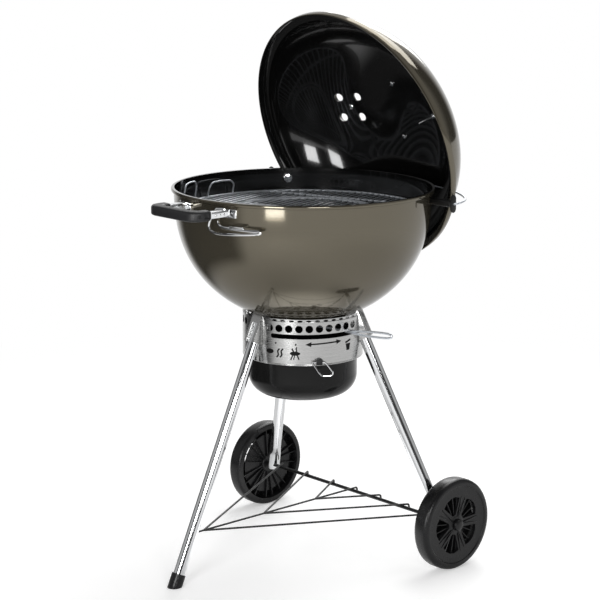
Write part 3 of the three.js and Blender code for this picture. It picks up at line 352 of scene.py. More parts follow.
def rounded_path(points, bend, rows=6):
    """A path whose corners are arcs that start a bend's length before each of them."""
    points = [Vector(point) for point in points]
    path = [points[0]]
    for before, corner, after in zip(points, points[1:], points[2:]):
        into = (corner - before).normalized() * min(bend, (corner - before).length / 2)
        out = (after - corner).normalized() * min(bend, (after - corner).length / 2)
        begin, end = corner - into, corner + out
        for row in range(rows + 1):
            share = row / rows
            path.append(begin.lerp(corner, share).lerp(corner.lerp(end, share), share))
    path.append(points[-1])
    return path


def wire(points, diameter, sides=3, smooth=False):
    """A round wire along points, straight between them or on one smooth curve."""
    start()
    bpy.ops.curve.primitive_bezier_curve_add()
    curve = bpy.context.object.data
    curve.splines.clear()
    spline = curve.splines.new("NURBS" if smooth else "POLY")
    spline.points.add(len(points) - 1)
    for point, place in zip(spline.points, points):
        point.co = (*place, 1)
    if smooth:
        spline.order_u = 4
        spline.use_endpoint_u = True
        spline.resolution_u = CURVE_ROWS
    curve.dimensions = "3D"
    curve.bevel_depth = diameter / 2
    curve.bevel_resolution = sides
    curve.use_fill_caps = True
    bpy.ops.object.convert(target="MESH")
    return tidy_mesh(bpy.context.object)


def joined(pieces):
    """Several meshes as one object."""
    pick(*pieces)
    bpy.ops.object.join()
    return bpy.context.object


def modified(piece, kind, **settings):
    """Adds a modifier and applies it."""
    pick(piece)
    bpy.ops.object.modifier_add(type=kind)
    modifier = piece.modifiers[-1]
    for key, value in settings.items():
        setattr(modifier, key, value)
    bpy.ops.object.modifier_apply(modifier=modifier.name)
    return piece


def bevelled(piece, width, segments=2, angle=35):
    """Rounds the sharp edges."""
    limit = math.radians(angle)
    return modified(piece, "BEVEL", width=width, segments=segments, limit_method="ANGLE",
                    angle_limit=limit)


def cut(piece, cutters):
    """Cuts solids out of a piece, and deletes them."""
    cutter = joined(cutters)
    modified(piece, "BOOLEAN", object=cutter, operation="DIFFERENCE", solver="EXACT")
    bpy.data.objects.remove(cutter)
    return piece


def sliced_off(piece, place, normal):
    """Takes away what lies beyond a plane, and closes the cut."""
    edit(piece)
    bpy.ops.mesh.bisect(plane_co=place, plane_no=normal, use_fill=True, clear_outer=True)
    return done()


def placed(piece, matrix):
    """Moves a piece's own mesh by a matrix."""
    pick(piece)
    piece.matrix_world = matrix
    return applied()


def refined(node, bevel, segments):
    """A merged copy of a frame node with its edges rounded."""
    source = frame["nodes"][node]
    piece = source.copy()
    piece.data = source.data.copy()
    piece.parent = None
    bpy.context.scene.collection.objects.link(piece)
    piece.hide_viewport = False
    placed(piece, source.matrix_world.copy())
    piece.data.materials.clear()
    edit(piece)
    bpy.ops.mesh.remove_doubles(threshold=1e-6)
    bpy.ops.mesh.dissolve_limited(angle_limit=math.radians(0.5))
    done()
    return bevelled(piece, bevel, segments)


def grown(piece, factor):
    """Scales a piece about the middle of its own box."""
    corners = [Vector(corner) for corner in piece.bound_box]
    there = Matrix.Translation(sum(corners, Vector()) / len(corners))
    return placed(piece, there @ Matrix.Scale(factor, 4) @ there.inverted())


def cross_frame(place, direction, sideways=UP):
    """A matrix that puts local Z along a direction at a place."""
    z = Vector(direction).normalized()
    x = Vector(sideways).cross(z)
    if x.length < 1e-6:
        x = Vector((1, 0, 0))
    x.normalize()
    turn = Matrix((x, z.cross(x), z)).transposed().to_4x4()
    return Matrix.Translation(place) @ turn


def settle(piece, name, body, slot, *nodes, angle=30):
    """Names a finished piece, smooths it, gives it its finish and hands it to the frame."""
    pick(piece)
    applied()
    bpy.ops.object.shade_smooth_by_angle(angle=math.radians(angle))
    piece.name = name
    if not piece.data.materials:
        piece.data.materials.append(finish(slot))
    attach(piece, body)
    if nodes:
        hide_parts(*nodes)
    return piece


def dressed(node, name, body, slot, bevel, segments=2, angle=30):
    """A frame node's own shape with rounded edges, finished."""
    return settle(refined(node, bevel, segments), name, body, slot, node, angle=angle)


def painted(piece, choose):
    """Enamels each face of a shell, outside or inside, as its middle and normal say."""
    for slot in ("shell", "black_enamel"):
        piece.data.materials.append(finish(slot))
    for face in piece.data.polygons:
        face.material_index = choose(face.center, face.normal)
    return piece


# Finishes. Sheen, tint and grain are noises in the gloss, the colour and the relief: scale and
# detail of the noise, then its two ends, or the strength and the depth of the relief.

COAT_ROUGHNESS = 0.03
NOISE_LOW, NOISE_HIGH = 0.3, 0.7
TINT_STOPS = (0.35, 0.65)

FINISHES = {
    "shell": dict(name="shell_enamel", colour="shell", roughness=0.11, metallic=0.78, coat=0.4,
                  tint=(1400, 1, 0.92, 1.08), grain=(40, 2, 0.015, 0.001),
                  more={"Specular Tint": (0.6, 0.6, 0.6, 1)}),
    "black_enamel": dict(name="inner_enamel", colour="inside", roughness=0.12, coat=0.6,
                         sheen=(14, 4, 0.1, 0.14), grain=(45, 2, 0.012, 0.001)),
    "pot_enamel": dict(name="pot_enamel", colour="pot", roughness=0.14, gloss=0.18,
                       sheen=(20, 4, 0.11, 0.18), grain=(60, 2, 0.02, 0.001)),
    "aluminium": dict(name="brushed_aluminium", colour=(0.45, 0.45, 0.445), roughness=0.24,
                      metallic=1.0, stretch=(0.2, 0.2, 22), sheen=(60, 3, 0.18, 0.3),
                      tint=(90, 3, 0.93, 1.05), grain=(60, 3, 0.05, 0.0004)),
    "chrome": dict(name="polished_chrome", colour=(0.78, 0.79, 0.8), roughness=0.07,
                   metallic=1.0, sheen=(35, 4, 0.05, 0.11)),
    "steel_wire": dict(name="plated_wire", colour=(0.62, 0.65, 0.69), roughness=0.34,
                       metallic=0.7, sheen=(160, 3, 0.3, 0.42), tint=(240, 2, 0.9, 1.06)),
    "black_wire": dict(name="black_paint", colour=(0.005, 0.005, 0.005), roughness=0.36,
                       gloss=0.3, sheen=(120, 3, 0.3, 0.44), grain=(900, 1, 0.08, 0.0003)),
    "iron": dict(name="dull_steel", colour=(0.3, 0.3, 0.3), roughness=0.45, metallic=1.0,
                 sheen=(60, 4, 0.35, 0.58), tint=(30, 4, 0.8, 1.1)),
    "black_plastic": dict(name="black_plastic", colour=(0.006, 0.006, 0.0065), roughness=0.28,
                          gloss=0.32, sheen=(40, 4, 0.22, 0.34),
                          grain=(1800, 2, 0.25, 0.0003)),
    "grip": dict(name="grip_nylon", colour="grip", roughness=0.42, gloss=0.35,
                 tint=(700, 2, 0.88, 1.12), grain=(1500, 2, 0.3, 0.0003)),
    "print_black": dict(name="printed_black", colour=(0.004, 0.004, 0.004), roughness=0.5,
                        gloss=0.1, sheen=(500, 2, 0.42, 0.6)),
    "dial_white": dict(name="dial_face", colour=(0.78, 0.78, 0.75), roughness=0.4,
                       sheen=(300, 2, 0.35, 0.5)),
    "glass": dict(name="dial_glass", colour=(1.0, 1.0, 1.0), roughness=0.02,
                  more={"Transmission Weight": 1.0, "IOR": 1.45}),
}
made_finishes = {}


def finish(slot):
    """The material of a slot, made when it is first asked for."""
    if slot not in made_finishes:
        made_finishes[slot] = new_finish(**FINISHES[slot])
    return made_finishes[slot]


def added(tree, kind, feeds=(), **settings):
    """A new node, each named input of it fed with a value or from another node's output."""
    node = tree.nodes.new(kind)
    for key, value in settings.items():
        setattr(node, key, value)
    for key, value in dict(feeds).items():
        if isinstance(value, bpy.types.NodeSocket):
            tree.links.new(value, node.inputs[key])
        else:
            node.inputs[key].default_value = value
    return node


def noise(tree, scale, detail, stretch):
    """A noise pattern on the piece's own coordinates."""
    place = added(tree, "ShaderNodeTexCoord").outputs["Object"]
    mapping = added(tree, "ShaderNodeMapping", {"Vector": place, "Scale": stretch})
    feeds = {"Vector": mapping.outputs["Vector"], "Scale": scale, "Detail": detail}
    return added(tree, "ShaderNodeTexNoise", feeds).outputs["Fac"]


def new_finish(name, colour, roughness, metallic=0.0, coat=0.0, gloss=0.5, stretch=(1, 1, 1),
               sheen=None, tint=None, grain=None, more=()):
    if isinstance(colour, str):
        colour = tuple(getattr(bpy.context.scene.grill_colours, colour))
    material = bpy.data.materials.new(name)
    material.use_nodes = True
    tree = material.node_tree
    inputs = tree.nodes["Principled BSDF"].inputs
    values = {"Base Color": (*colour, 1), "Roughness": roughness, "Metallic": metallic,
              "Coat Weight": coat, "Coat Roughness": COAT_ROUGHNESS,
              "Specular IOR Level": gloss, **dict(more)}
    for key, value in values.items():
        inputs[key].default_value = value
    if sheen:
        scale, detail, low, high = sheen
        feeds = {"Value": noise(tree, scale, detail, stretch), "From Min": NOISE_LOW,
                 "From Max": NOISE_HIGH, "To Min": low, "To Max": high}
        spread = added(tree, "ShaderNodeMapRange", feeds)
        tree.links.new(spread.outputs["Result"], inputs["Roughness"])
    if tint:
        scale, detail, low, high = tint
        ramp = added(tree, "ShaderNodeValToRGB", {"Fac": noise(tree, scale, detail, stretch)})
        for stop, place, share in zip(ramp.color_ramp.elements, TINT_STOPS, (low, high)):
            stop.position = place
            stop.color = (*(value * share for value in colour), 1)
        tree.links.new(ramp.outputs["Color"], inputs["Base Color"])
    if grain:
        scale, detail, strength, distance = grain
        feeds = {"Height": noise(tree, scale, detail, stretch), "Strength": strength,
                 "Distance": distance}
        tree.links.new(added(tree, "ShaderNodeBump", feeds).outputs["Normal"], inputs["Normal"])
    return material


# Bowl and lid shells

BOWL_POWERS = (1.881, 2.488)
LID_POWERS = (3.3, 1.8)
PROFILE_ROWS = 36
ROW_CROWDING = 1.15
VENT_INNER, VENT_OUTER, VENT_SPAN = 0.03, 0.08, 46
VENT_ANGLES = (0, 120, 240)
SHAFT_BORE = 0.0056


def dome(radius, depth, powers):
    """A quarter of a superellipse from the rim to the axis, as (radius, depth) pairs."""
    pairs = []
    for row in range(PROFILE_ROWS + 1):
        turn = math.pi / 2 * (row / PROFILE_ROWS) ** ROW_CROWDING
        across = max(math.cos(turn), 0) ** (2 / powers[0]) if row < PROFILE_ROWS else 0
        pairs.append((radius * across, depth * math.sin(turn) ** (2 / powers[1])))
    return pairs


def value_on(profile, radius):
    """The depth of a dome's profile at a radius."""
    for (outer, low), (inner, high) in zip(profile, profile[1:]):
        if inner <= radius <= outer:
            return low + (high - low) * (outer - radius) / (outer - inner)
    return profile[-1][1]


def vent_wedge(angle):
    """A cutter for one opening in the bowl's floor."""
    rim = [polar(VENT_OUTER, angle + VENT_SPAN * share / 8) for share in range(-4, 5)]
    core = [polar(VENT_INNER, angle + VENT_SPAN * share / 4) for share in (2, 1, 0, -1, -2)]
    points = [(point.x, point.y) for point in rim + core]
    return prism(points, BOWL_BOTTOM - 0.05, BOWL_BOTTOM + 0.06)


class GRILL_OT_bowl(bpy.types.Operator):
    """Spin the bowl with its rolled lip and cut the vents in its floor"""

    bl_idname = "grill.bowl"
    bl_label = "Bowl"

    def execute(self, context):
        sizes = context.scene.grill_sizes
        radius, sheet, lip = sizes.bowl_radius, sizes.bowl_sheet, sizes.lip_height
        depth, under = RIM - BOWL_BOTTOM, RIM - lip
        outer = dome(radius, depth, BOWL_POWERS)
        inner = dome(radius - sheet, depth - sheet, BOWL_POWERS)
        roll = [(radius - sheet * 0.7, RIM - 0.0004), (radius, RIM)]
        roll += about(LIP_RADIUS, RIM, [(-0.0026, 0), (-0.0012, -0.0004), (-0.0003, -0.0014),
                                        (0, -0.0028)])
        roll += about(LIP_RADIUS, under, [(0, 0.0022), (-0.0004, 0.0009), (-0.0013, 0.0002),
                                          (-0.0024, 0), (-0.0036, 0.0006)])
        roll.append((radius + 0.0003, under + 0.0012))
        inside = [(across, RIM - down) for across, down in reversed(inner) if down > 0.0008]
        outside = [(across, RIM - down) for across, down in outer if down > lip * 0.85]
        piece = spun(inside + roll + outside, closed=False)
        wedges = [vent_wedge(angle) for angle in VENT_ANGLES]
        bore = upright(AXIS.x, 0, BOWL_BOTTOM - 0.02, BOWL_BOTTOM + 0.02, SHAFT_BORE, 20)
        cut(piece, wedges + [bore])
        within = radius - sheet * 0.4

        def choose(centre, normal):
            across = Vector((centre.x - AXIS.x, centre.y, 0))
            if across.length > within:
                return 1 if normal.z > 0.75 else 0
            return 1 if normal.z > 0.02 or normal.dot(across) < 0 else 0

        settle(painted(piece, choose), "bowl_shell", "grill", "shell", "bowl")
        return {"FINISHED"}


DAMPER_OFFSET = 0.145
DAMPER_RADIUS, DAMPER_SHEET = 0.047, 0.0012
DAMPER_HOLES = [(x, y) for x in (-0.025, 0.025) for y in (0.1205, 0.1695)]
DAMPER_HOLE_RADIUS = 0.01
BOLT_SPACING = 0.13
GAUGE_OFFSET = 0.117
GAUGE_MARKS, GAUGE_SWEEP = 25, 270
NEEDLE_ANGLE = -34


def lid_profile(inset=0.0):
    sizes = bpy.context.scene.grill_sizes
    return dome(sizes.lid_radius - inset, sizes.lid_depth - inset, LID_POWERS)


def lid_surface(radius, inset=0.0):
    """The lid's height above its rim plane."""
    return value_on(lid_profile(inset), radius)


def on_lid(offset, lift=0.0):
    """A matrix standing on the lid's slope at an offset along its own Y."""
    step = 0.004
    radius = abs(offset)
    tilt = math.atan2(lid_surface(radius - step) - lid_surface(radius + step), 2 * step)
    turn = Matrix.Rotation(-math.copysign(tilt, offset), 4, "X")
    place = Matrix.Translation((0, offset, lid_surface(radius)))
    return lid_matrix() @ place @ turn @ Matrix.Translation((0, 0, lift))


class GRILL_OT_lid(bpy.types.Operator):
    """Spin the domed lid with its rim band and cut its vent holes"""

    bl_idname = "grill.lid"
    bl_label = "Lid"

    def execute(self, context):
        sizes = context.scene.grill_sizes
        sheet, band = sizes.bowl_sheet, sizes.lid_rim_depth
        rim, step = LID_RIM_SPAN / 2, band + sheet
        outer = [pair for pair in lid_profile() if pair[1] > band + sheet * 2.2]
        inner = [pair for pair in lid_profile(sheet) if pair[1] > band + sheet * 0.9]
        profile = list(reversed(inner))
        profile += about(inner[0][0], band, [(0.0004, 0.0004), (0.0028, 0)])
        profile += about(rim, band, [(-0.0048, 0), (-0.0036, -0.0012)])
        profile += about(rim, 0, [(-0.0034, 0.0014), (-0.0029, 0.0004), (-0.0017, 0),
                                  (-0.0006, 0.0004), (0, 0.0016)])
        profile += about(rim, step, [(0, -0.003), (-0.0006, -0.0012), (-0.002, -0.0002),
                                     (-0.004, 0)])
        profile += about(outer[0][0], step, [(0.0028, 0.0003), (0.0008, 0.0014)])
        piece = spun_here(profile + outer)
        cut(piece, [upright(x, y, 0.05, 0.3, DAMPER_HOLE_RADIUS, 32) for x, y in DAMPER_HOLES])

        def choose(centre, normal):
            across = Vector((centre.x, centre.y, 0))
            if across.length > rim - 0.0015:
                return 0
            return 1 if normal.z < -0.02 or normal.dot(across) < 0 else 0

        painted(piece, choose)
        settle(placed(piece, lid_matrix()), "lid_dome", "lid", "shell", "lid_shell")
        return {"FINISHED"}


class GRILL_OT_lid_damper(bpy.types.Operator):
    """Spin the damper's dished plate, cut its holes and raise its thumb tab"""

    bl_idname = "grill.lid_damper"
    bl_label = "Lid damper"

    def execute(self, context):
        dish = 0.0012
        under = [(DAMPER_RADIUS * row / 6, -dish * (row / 6) ** 2) for row in range(7)]
        over = [(r, z + DAMPER_SHEET + 0.0005 * (0.03 < r < 0.042)) for r, z in under]
        piece = spun_here(under + list(reversed(over)), 96)
        holes = [upright(x, y - DAMPER_OFFSET, -0.01, 0.01, DAMPER_HOLE_RADIUS, 32)
                 for x, y in DAMPER_HOLES]
        cut(piece, holes + [upright(0, 0, -0.01, 0.01, 0.0035, 24)])
        tab = slab((0, DAMPER_RADIUS - 0.008, 0.0072), (0.016, 0.0024, 0.0136))
        piece = joined([bevelled(piece, 0.0003, 1), bevelled(tab, 0.001, 3)])
        placed(piece, on_lid(DAMPER_OFFSET, 0.0006))
        settle(piece, "damper_plate", "lid_damper", "aluminium", "lid_damper")
        rivet = [(0, 0.0056), (0.0028, 0.0053), (0.0052, 0.0042), (0.0065, 0.0026),
                 (0.0065, 0.0021), (0.0032, 0.0021), (0.0032, -0.0027), (0.0065, -0.0027),
                 (0.0065, -0.0036), (0.0045, -0.0048), (0, -0.0052)]
        pin = placed(spun_here(rivet, 32), on_lid(DAMPER_OFFSET))
        settle(pin, "damper_pin", "lid", "chrome", "damper_rivet")
        return {"FINISHED"}


class GRILL_OT_lid_handle(bpy.types.Operator):
    """Shape the lid's handle, its heat shield and its two bolts"""

    bl_idname = "grill.lid_handle"
    bl_label = "Lid handle"

    def execute(self, context):
        dressed("lid_handle", "lid_grip", "lid", "grip", 0.0045, 4)
        dressed("lid_heat_shield", "heat_shield", "lid", "aluminium", 0.0005)
        inside = lid_surface(BOLT_SPACING / 2 + 0.0065, 0.002) - SEAT_GAP
        tip = lid_surface(BOLT_SPACING / 2 - 0.013) + SEAT_GAP + 0.013
        profile = about(0, inside, [(0, -0.0042), (0.0032, -0.0038), (0.0056, -0.0024),
                                    (0.0065, -0.0006), (0.0065, 0), (0.003, 0)])
        profile += [(0.003, tip), (0, tip)]
        for name, side in (("upper", -1), ("lower", 1)):
            shift = Matrix.Translation((side * BOLT_SPACING / 2, 0, 0))
            bolt = placed(spun_here(profile, 32), lid_matrix() @ shift)
            settle(bolt, f"handle_bolt_{name}", "lid", "chrome", f"lid_handle_bolt_{name}")
        return {"FINISHED"}


class GRILL_OT_thermometer(bpy.types.Operator):
    """Spin the thermometer's housing and probe, and fit its dial, needle and glass"""

    bl_idname = "grill.thermometer"
    bl_label = "Thermometer"

    def execute(self, context):
        probe = [(0, -0.048), (0.0016, -0.0476), (0.0022, -0.0468), (0.0022, 0.0003)]
        cup = [(0.0225, 0.0003), (0.0242, 0.0012), (0.025, 0.0032), (0.025, 0.0104)]
        bezel = [(0.0246, 0.0118), (0.0236, 0.0128), (0.0222, 0.013), (0.0208, 0.0124)]
        floor = [(0.0202, 0.0112), (0.0202, 0.0098), (0, 0.0098)]
        face = [(0, 0.0099), (0.0199, 0.0099), (0.0199, 0.0102), (0, 0.0102)]
        cover = [(0, 0.0119), (0.0198, 0.0116), (0.0198, 0.0122), (0.01, 0.0127), (0, 0.0129)]
        stand = on_lid(-GAUGE_OFFSET)
        case = placed(spun_here(probe + cup + bezel + floor, 64), stand)
        settle(case, "thermometer_case", "lid", "chrome", "lid_thermometer")
        dial = placed(spun_here(face, 64), stand)
        settle(dial, "thermometer_dial", "lid", "dial_white")
        marks = []
        for row in range(GAUGE_MARKS):
            angle = -GAUGE_SWEEP / 2 + row * GAUGE_SWEEP / (GAUGE_MARKS - 1)
            turn = math.radians(angle)
            long = row % 4 == 0
            radius = 0.0172 if long else 0.0177
            place = (radius * math.sin(turn), radius * math.cos(turn), 0.0103)
            size = (0.0005 if long else 0.0003, 0.0034 if long else 0.002, 0.0002)
            marks.append(slab(place, size, -angle))
        marks.append(slab((0.0028, 0.0042, 0.0105), (0.0009, 0.017, 0.0003), NEEDLE_ANGLE))
        marks.append(spun_here([(0, 0.0103), (0.0018, 0.0103), (0.0016, 0.0112), (0, 0.0114)], 24))
        settle(placed(joined(marks), stand), "thermometer_marks", "lid", "print_black")
        glass = placed(spun_here(cover, 64), stand)
        settle(glass, "thermometer_glass", "lid", "glass")
        dressed("thermometer_nut", "probe_nut", "lid", "chrome", 0.0006)
        return {"FINISHED"}


# Ash ring, control plate and printed marks

AIR_HOLES, PLATE_HOLES, TOP_HOLES = 38, 10, 44
HOLE_STEP = 360 / AIR_HOLES
HOLE_START = -164.3
HOLE_SPAN = 0.0164
TOP_HOLE_SIZE, TOP_HOLE_DROP = (0.0112, 0.0044), 0.0035
# Degrees kept free of holes beside the legs and the plate
HOLE_LEG_REACH, TOP_HOLE_LEG_REACH, PLATE_REACH = 13, 10, 3
HOLE_HEIGHT = BOWL_BOTTOM + 0.008
SLOT_HEIGHT = BOWL_BOTTOM - 0.009
RING_RADIUS, RING_SHEET, BEAD_RADIUS = 0.1326, 0.0015, 0.0012
RING_GRID, PLATE_GRID = (190, 6), (84, 8)
SOCKET_OPENING = (0.03, 0.032, 0.084)
OPENING_BELOW, OPENING_ABOVE = 0.012, 0.0082
PLATE_RADIUS = RING_RADIUS + SEAT_GAP
PLATE_START, PLATE_END = -168, -70
PLATE_CORNER = 0.012
SLOT_START, SLOT_END = -163, -77
SLOT_OPENING, SLOT_CORNER = 0.01, 0.0035
MARK_STRIP, MARK_THICKNESS = 0.003, 0.0002
PUFF_ROWS = 9
LEG_ANGLES = {"foot": 180.0, "near_wheel": -61.15, "far_wheel": 61.15}


def wrapped(piece, radius):
    """Rolls a flat piece round the bowl's axis: X is the way round, Y up and Z out."""
    for vertex in piece.data.vertices:
        round_way, height, out = vertex.co
        vertex.co = polar(radius + out, math.degrees(round_way / radius), height)
    return piece


def panel(start_angle, end_angle, radius, low, high, columns, rows):
    """A flat panel with rows and columns of faces, ready to be wrapped."""
    left, right = (math.radians(angle) * radius for angle in (start_angle, end_angle))
    start()
    bpy.ops.mesh.primitive_grid_add(x_subdivisions=columns, y_subdivisions=rows, size=1)
    piece = bpy.context.object
    piece.location = ((left + right) / 2, (low + high) / 2, 0)
    piece.scale = (right - left, high - low, 1)
    edit(applied())
    extrude(0, 0, RING_SHEET)
    return turned_out()


def flat_hole(angle, radius, height, across, high):
    """An oval cutter through a flat panel."""
    x = math.radians(angle) * radius
    cutter = upright(x, height, -0.01, 0.01, 1, 32)
    cutter.scale = (across / 2, high / 2, 1)
    cutter.location = (x * (1 - across / 2), height * (1 - high / 2), 0)
    pick(cutter)
    return applied()


def near_leg(angle, reach):
    """Whether an angle lies within reach of a leg's socket."""
    gaps = [abs((angle - leg + 180) % 360 - 180) for leg in LEG_ANGLES.values()]
    return min(gaps) < reach


class GRILL_OT_ash_ring(bpy.types.Operator):
    """Roll the ash ring from a panel with its air holes and rolled lower edge"""

    bl_idname = "grill.ash_ring"
    bl_label = "Ash ring"

    def execute(self, context):
        radius = RING_RADIUS - RING_SHEET
        low, high = RING_BOTTOM + 0.001, BOWL_BOTTOM + 0.0285
        piece = panel(-180, 180, radius, low, high, *RING_GRID)
        cutters = []
        for index in range(AIR_HOLES):
            angle = (HOLE_START + index * HOLE_STEP + 180) % 360 - 180
            beside = PLATE_START - PLATE_REACH < angle < PLATE_END + PLATE_REACH
            if not beside and not near_leg(angle, HOLE_LEG_REACH):
                cutters.append(flat_hole(angle, radius, HOLE_HEIGHT, HOLE_SPAN, HOLE_SPAN))
        for index in range(TOP_HOLES):
            angle = -180 + (index + 0.5) * 360 / TOP_HOLES
            if not near_leg(angle, TOP_HOLE_LEG_REACH):
                cutters.append(flat_hole(angle, radius, high - TOP_HOLE_DROP, *TOP_HOLE_SIZE))
        cut(piece, cutters)
        left, right = (math.radians(angle) * radius for angle in (SLOT_START - 1, SLOT_END + 1))
        bottom, top = SLOT_HEIGHT - OPENING_BELOW, HOLE_HEIGHT + OPENING_ABOVE
        middle = ((left + right) / 2, (bottom + top) / 2, 0)
        cut(piece, [slab(middle, (right - left, top - bottom, 0.02))])
        tidy_mesh(wrapped(piece, radius), 1e-5)
        cut(piece, [slab(polar(RING_RADIUS, angle, HOLE_HEIGHT), SOCKET_OPENING, angle)
                    for angle in LEG_ANGLES.values()])
        bead = ring(RING_RADIUS - 0.0008, BEAD_RADIUS, low)
        settle(joined([piece, bead]), "ring_wall", "grill", "aluminium", "ash_ring")
        return {"FINISHED"}


class GRILL_OT_control_plate(bpy.types.Operator):
    """Roll the control plate with its rounded corners, ten holes and slot"""

    bl_idname = "grill.control_plate"
    bl_label = "Control plate"

    def execute(self, context):
        radius, low = PLATE_RADIUS, PLATE_BOTTOM
        piece = panel(PLATE_START, PLATE_END, radius, low, PLATE_TOP, *PLATE_GRID)
        cut(piece, [flat_hole(HOLE_START + index * HOLE_STEP, radius, HOLE_HEIGHT, HOLE_SPAN,
                              HOLE_SPAN) for index in range(PLATE_HOLES)])
        left, right = (math.radians(angle) * radius for angle in (SLOT_START, SLOT_END))
        slot = slab(((left + right) / 2, SLOT_HEIGHT, 0), (right - left, SLOT_OPENING, 0.02))
        cut(piece, [bevelled(slot, SLOT_CORNER, 4)])
        for angle, side in ((PLATE_START, 1), (PLATE_END, -1)):
            edge = math.radians(angle) * radius
            block = slab((edge, low, 0), (2 * PLATE_CORNER, 2 * PLATE_CORNER, 0.02))
            round_off = upright(edge + side * PLATE_CORNER, low + PLATE_CORNER, -0.02, 0.02,
                                PLATE_CORNER, 48)
            cut(piece, [cut(block, [round_off])])
        bevelled(wrapped(piece, radius), 0.0003, 1)
        span = range(PLATE_START + 7, PLATE_END - 6, 2)
        roll = wire([polar(radius + 0.0008, angle, low + 0.0012) for angle in span], 0.0024)
        settle(joined([piece, roll]), "plate", "grill", "aluminium", "control_plate")
        return {"FINISHED"}


def mark(points):
    """A flat printed mark from points in mm along the plate and up from its lower edge."""
    return prism([(x / 1000, y / 1000) for x, y in points], 0, MARK_THICKNESS)


def sliced(piece, step):
    """Cuts a flat piece into upright strips, so that it can be rolled."""
    columns = [vertex.co.x for vertex in piece.data.vertices]
    for index in range(math.ceil(min(columns) / step), math.ceil(max(columns) / step)):
        edit(piece)
        bpy.ops.mesh.bisect(plane_co=(index * step, 0, 0), plane_no=(1, 0, 0))
        done()
    return piece


def oval(x, y, across, high, count=20):
    turns = [math.tau * index / count for index in range(count)]
    return [(x + across / 2 * math.cos(turn), y + high / 2 * math.sin(turn)) for turn in turns]


def stroke(points, width):
    """The outline of a line of even width through points."""
    left, right = [], []
    for index, (x, y) in enumerate(points):
        before = points[max(index - 1, 0)]
        after = points[min(index + 1, len(points) - 1)]
        along = Vector((after[0] - before[0], after[1] - before[1])).normalized() * width / 2
        left.append((x - along.y, y + along.x))
        right.append((x + along.y, y - along.x))
    return left + list(reversed(right))


def wave(x, low, high, sway, lean=0.0):
    """Points of a rising puff of smoke that leans to one side."""
    shares = [row / PUFF_ROWS for row in range(PUFF_ROWS + 1)]
    return [(x + sway * math.sin(math.tau * share) + lean * (share - 0.5),
             low + (high - low) * share) for share in shares]


class GRILL_OT_plate_marks(bpy.types.Operator):
    """Print the plate's generic signs: dots, a smoking dish, a grill, an arrow and a bin"""

    bl_idname = "grill.plate_marks"
    bl_label = "Printed marks"

    def execute(self, context):
        dots = [oval(x, y, 4.2, 4.2, 14) for x, y in ((3.3, 48.5), (23.5, 47), (68.3, 45.7))]
        dish = [
            oval(9.4, 28, 18, 10.5),
            stroke(wave(29, 16, 35, 2.2, 7), 3.4),
            stroke(wave(37, 16.4, 35, 2.2, 7), 3.4),
        ]
        grill = [
            oval(66.9, 26, 23, 9),
            stroke(wave(62, 29.5, 37, 1.4), 2.6),
            stroke(wave(70, 29.5, 40, 1.4, 3), 2.6),
            stroke([(62.5, 23.5), (57.5, 12)], 2.8),
            stroke([(71.5, 23.5), (75.5, 13)], 2.8),
            stroke([(66, 22), (64, 12.5)], 2.2),
        ]
        arrow = [
            stroke([(98, 46.1), (164, 48.3)], 3.2),
            [(88.8, 45.8), (102.4, 51.4), (101.8, 40.8)],
            [(173, 48.6), (159.8, 53.4), (160.4, 42.8)],
        ]
        waste_bin = [
            [(186.2, 40), (200, 40), (197.4, 25.2), (188.8, 25.2)],
            [(184.6, 44.6), (200, 49.4), (201.2, 45.4), (185.8, 40.8)],
        ]
        radius = PLATE_RADIUS + RING_SHEET + 0.00002
        pieces = [mark(points) for points in dots + dish + grill + arrow + waste_bin]
        piece = sliced(joined(pieces), MARK_STRIP)
        placed(piece, Matrix.Translation((math.radians(PLATE_START) * radius, PLATE_BOTTOM, 0)))
        settle(wrapped(piece, radius), "plate_marks", "grill", "print_black")
        return {"FINISHED"}


# Sweeper, lever, ash pot and latch

LEVER_ANGLE = -80
LEVER_REACH = 0.24
LEVER_WIRE = 0.005
# Shares of the way from the ring to the tip, and of the loop's half height
LEVER_LOOP = [(-0.25, 0.05), (-0.1, 0.25), (0.1, 0.65), (0.35, 0.9), (0.65, 1), (0.9, 0.95),
              (0.985, 0.55), (1.0, 0), (0.985, -0.55), (0.9, -0.95), (0.65, -1), (0.35, -0.9),
              (0.1, -0.65), (-0.1, -0.25), (-0.25, -0.05)]


class GRILL_OT_sweeper(bpy.types.Operator):
    """Round the sweeper's blades and bend its lever's loop"""

    bl_idname = "grill.sweeper"
    bl_label = "Sweeper and lever"

    def execute(self, context):
        dressed("sweeper", "ash_sweeper", "sweeper", "iron", 0.0003, 1)
        begin = RING_RADIUS + 0.0084
        points = [polar(begin + (LEVER_REACH - begin) * share, LEVER_ANGLE,
                        SLOT_HEIGHT + 0.005 * share + 0.0055 * up) for share, up in LEVER_LOOP]
        loop = wire(points, LEVER_WIRE, smooth=True)
        stem = rod(polar(0.007, LEVER_ANGLE, SLOT_HEIGHT),
                   polar(begin - 0.008, LEVER_ANGLE, SLOT_HEIGHT), LEVER_WIRE / 2, 16)
        eye = about(0, SLOT_HEIGHT, [(0.0053, -0.003), (0.009, -0.003), (0.009, 0.003),
                                     (0.0053, 0.003)])
        lever = joined([loop, stem, bevelled(spun(eye, 40), 0.0006)])
        settle(lever, "lever", "sweeper", "steel_wire", "vent_lever")
        return {"FINISHED"}


POT_RADIUS, POT_CORNER, POT_SHEET = 0.1204, 0.046, 0.0015


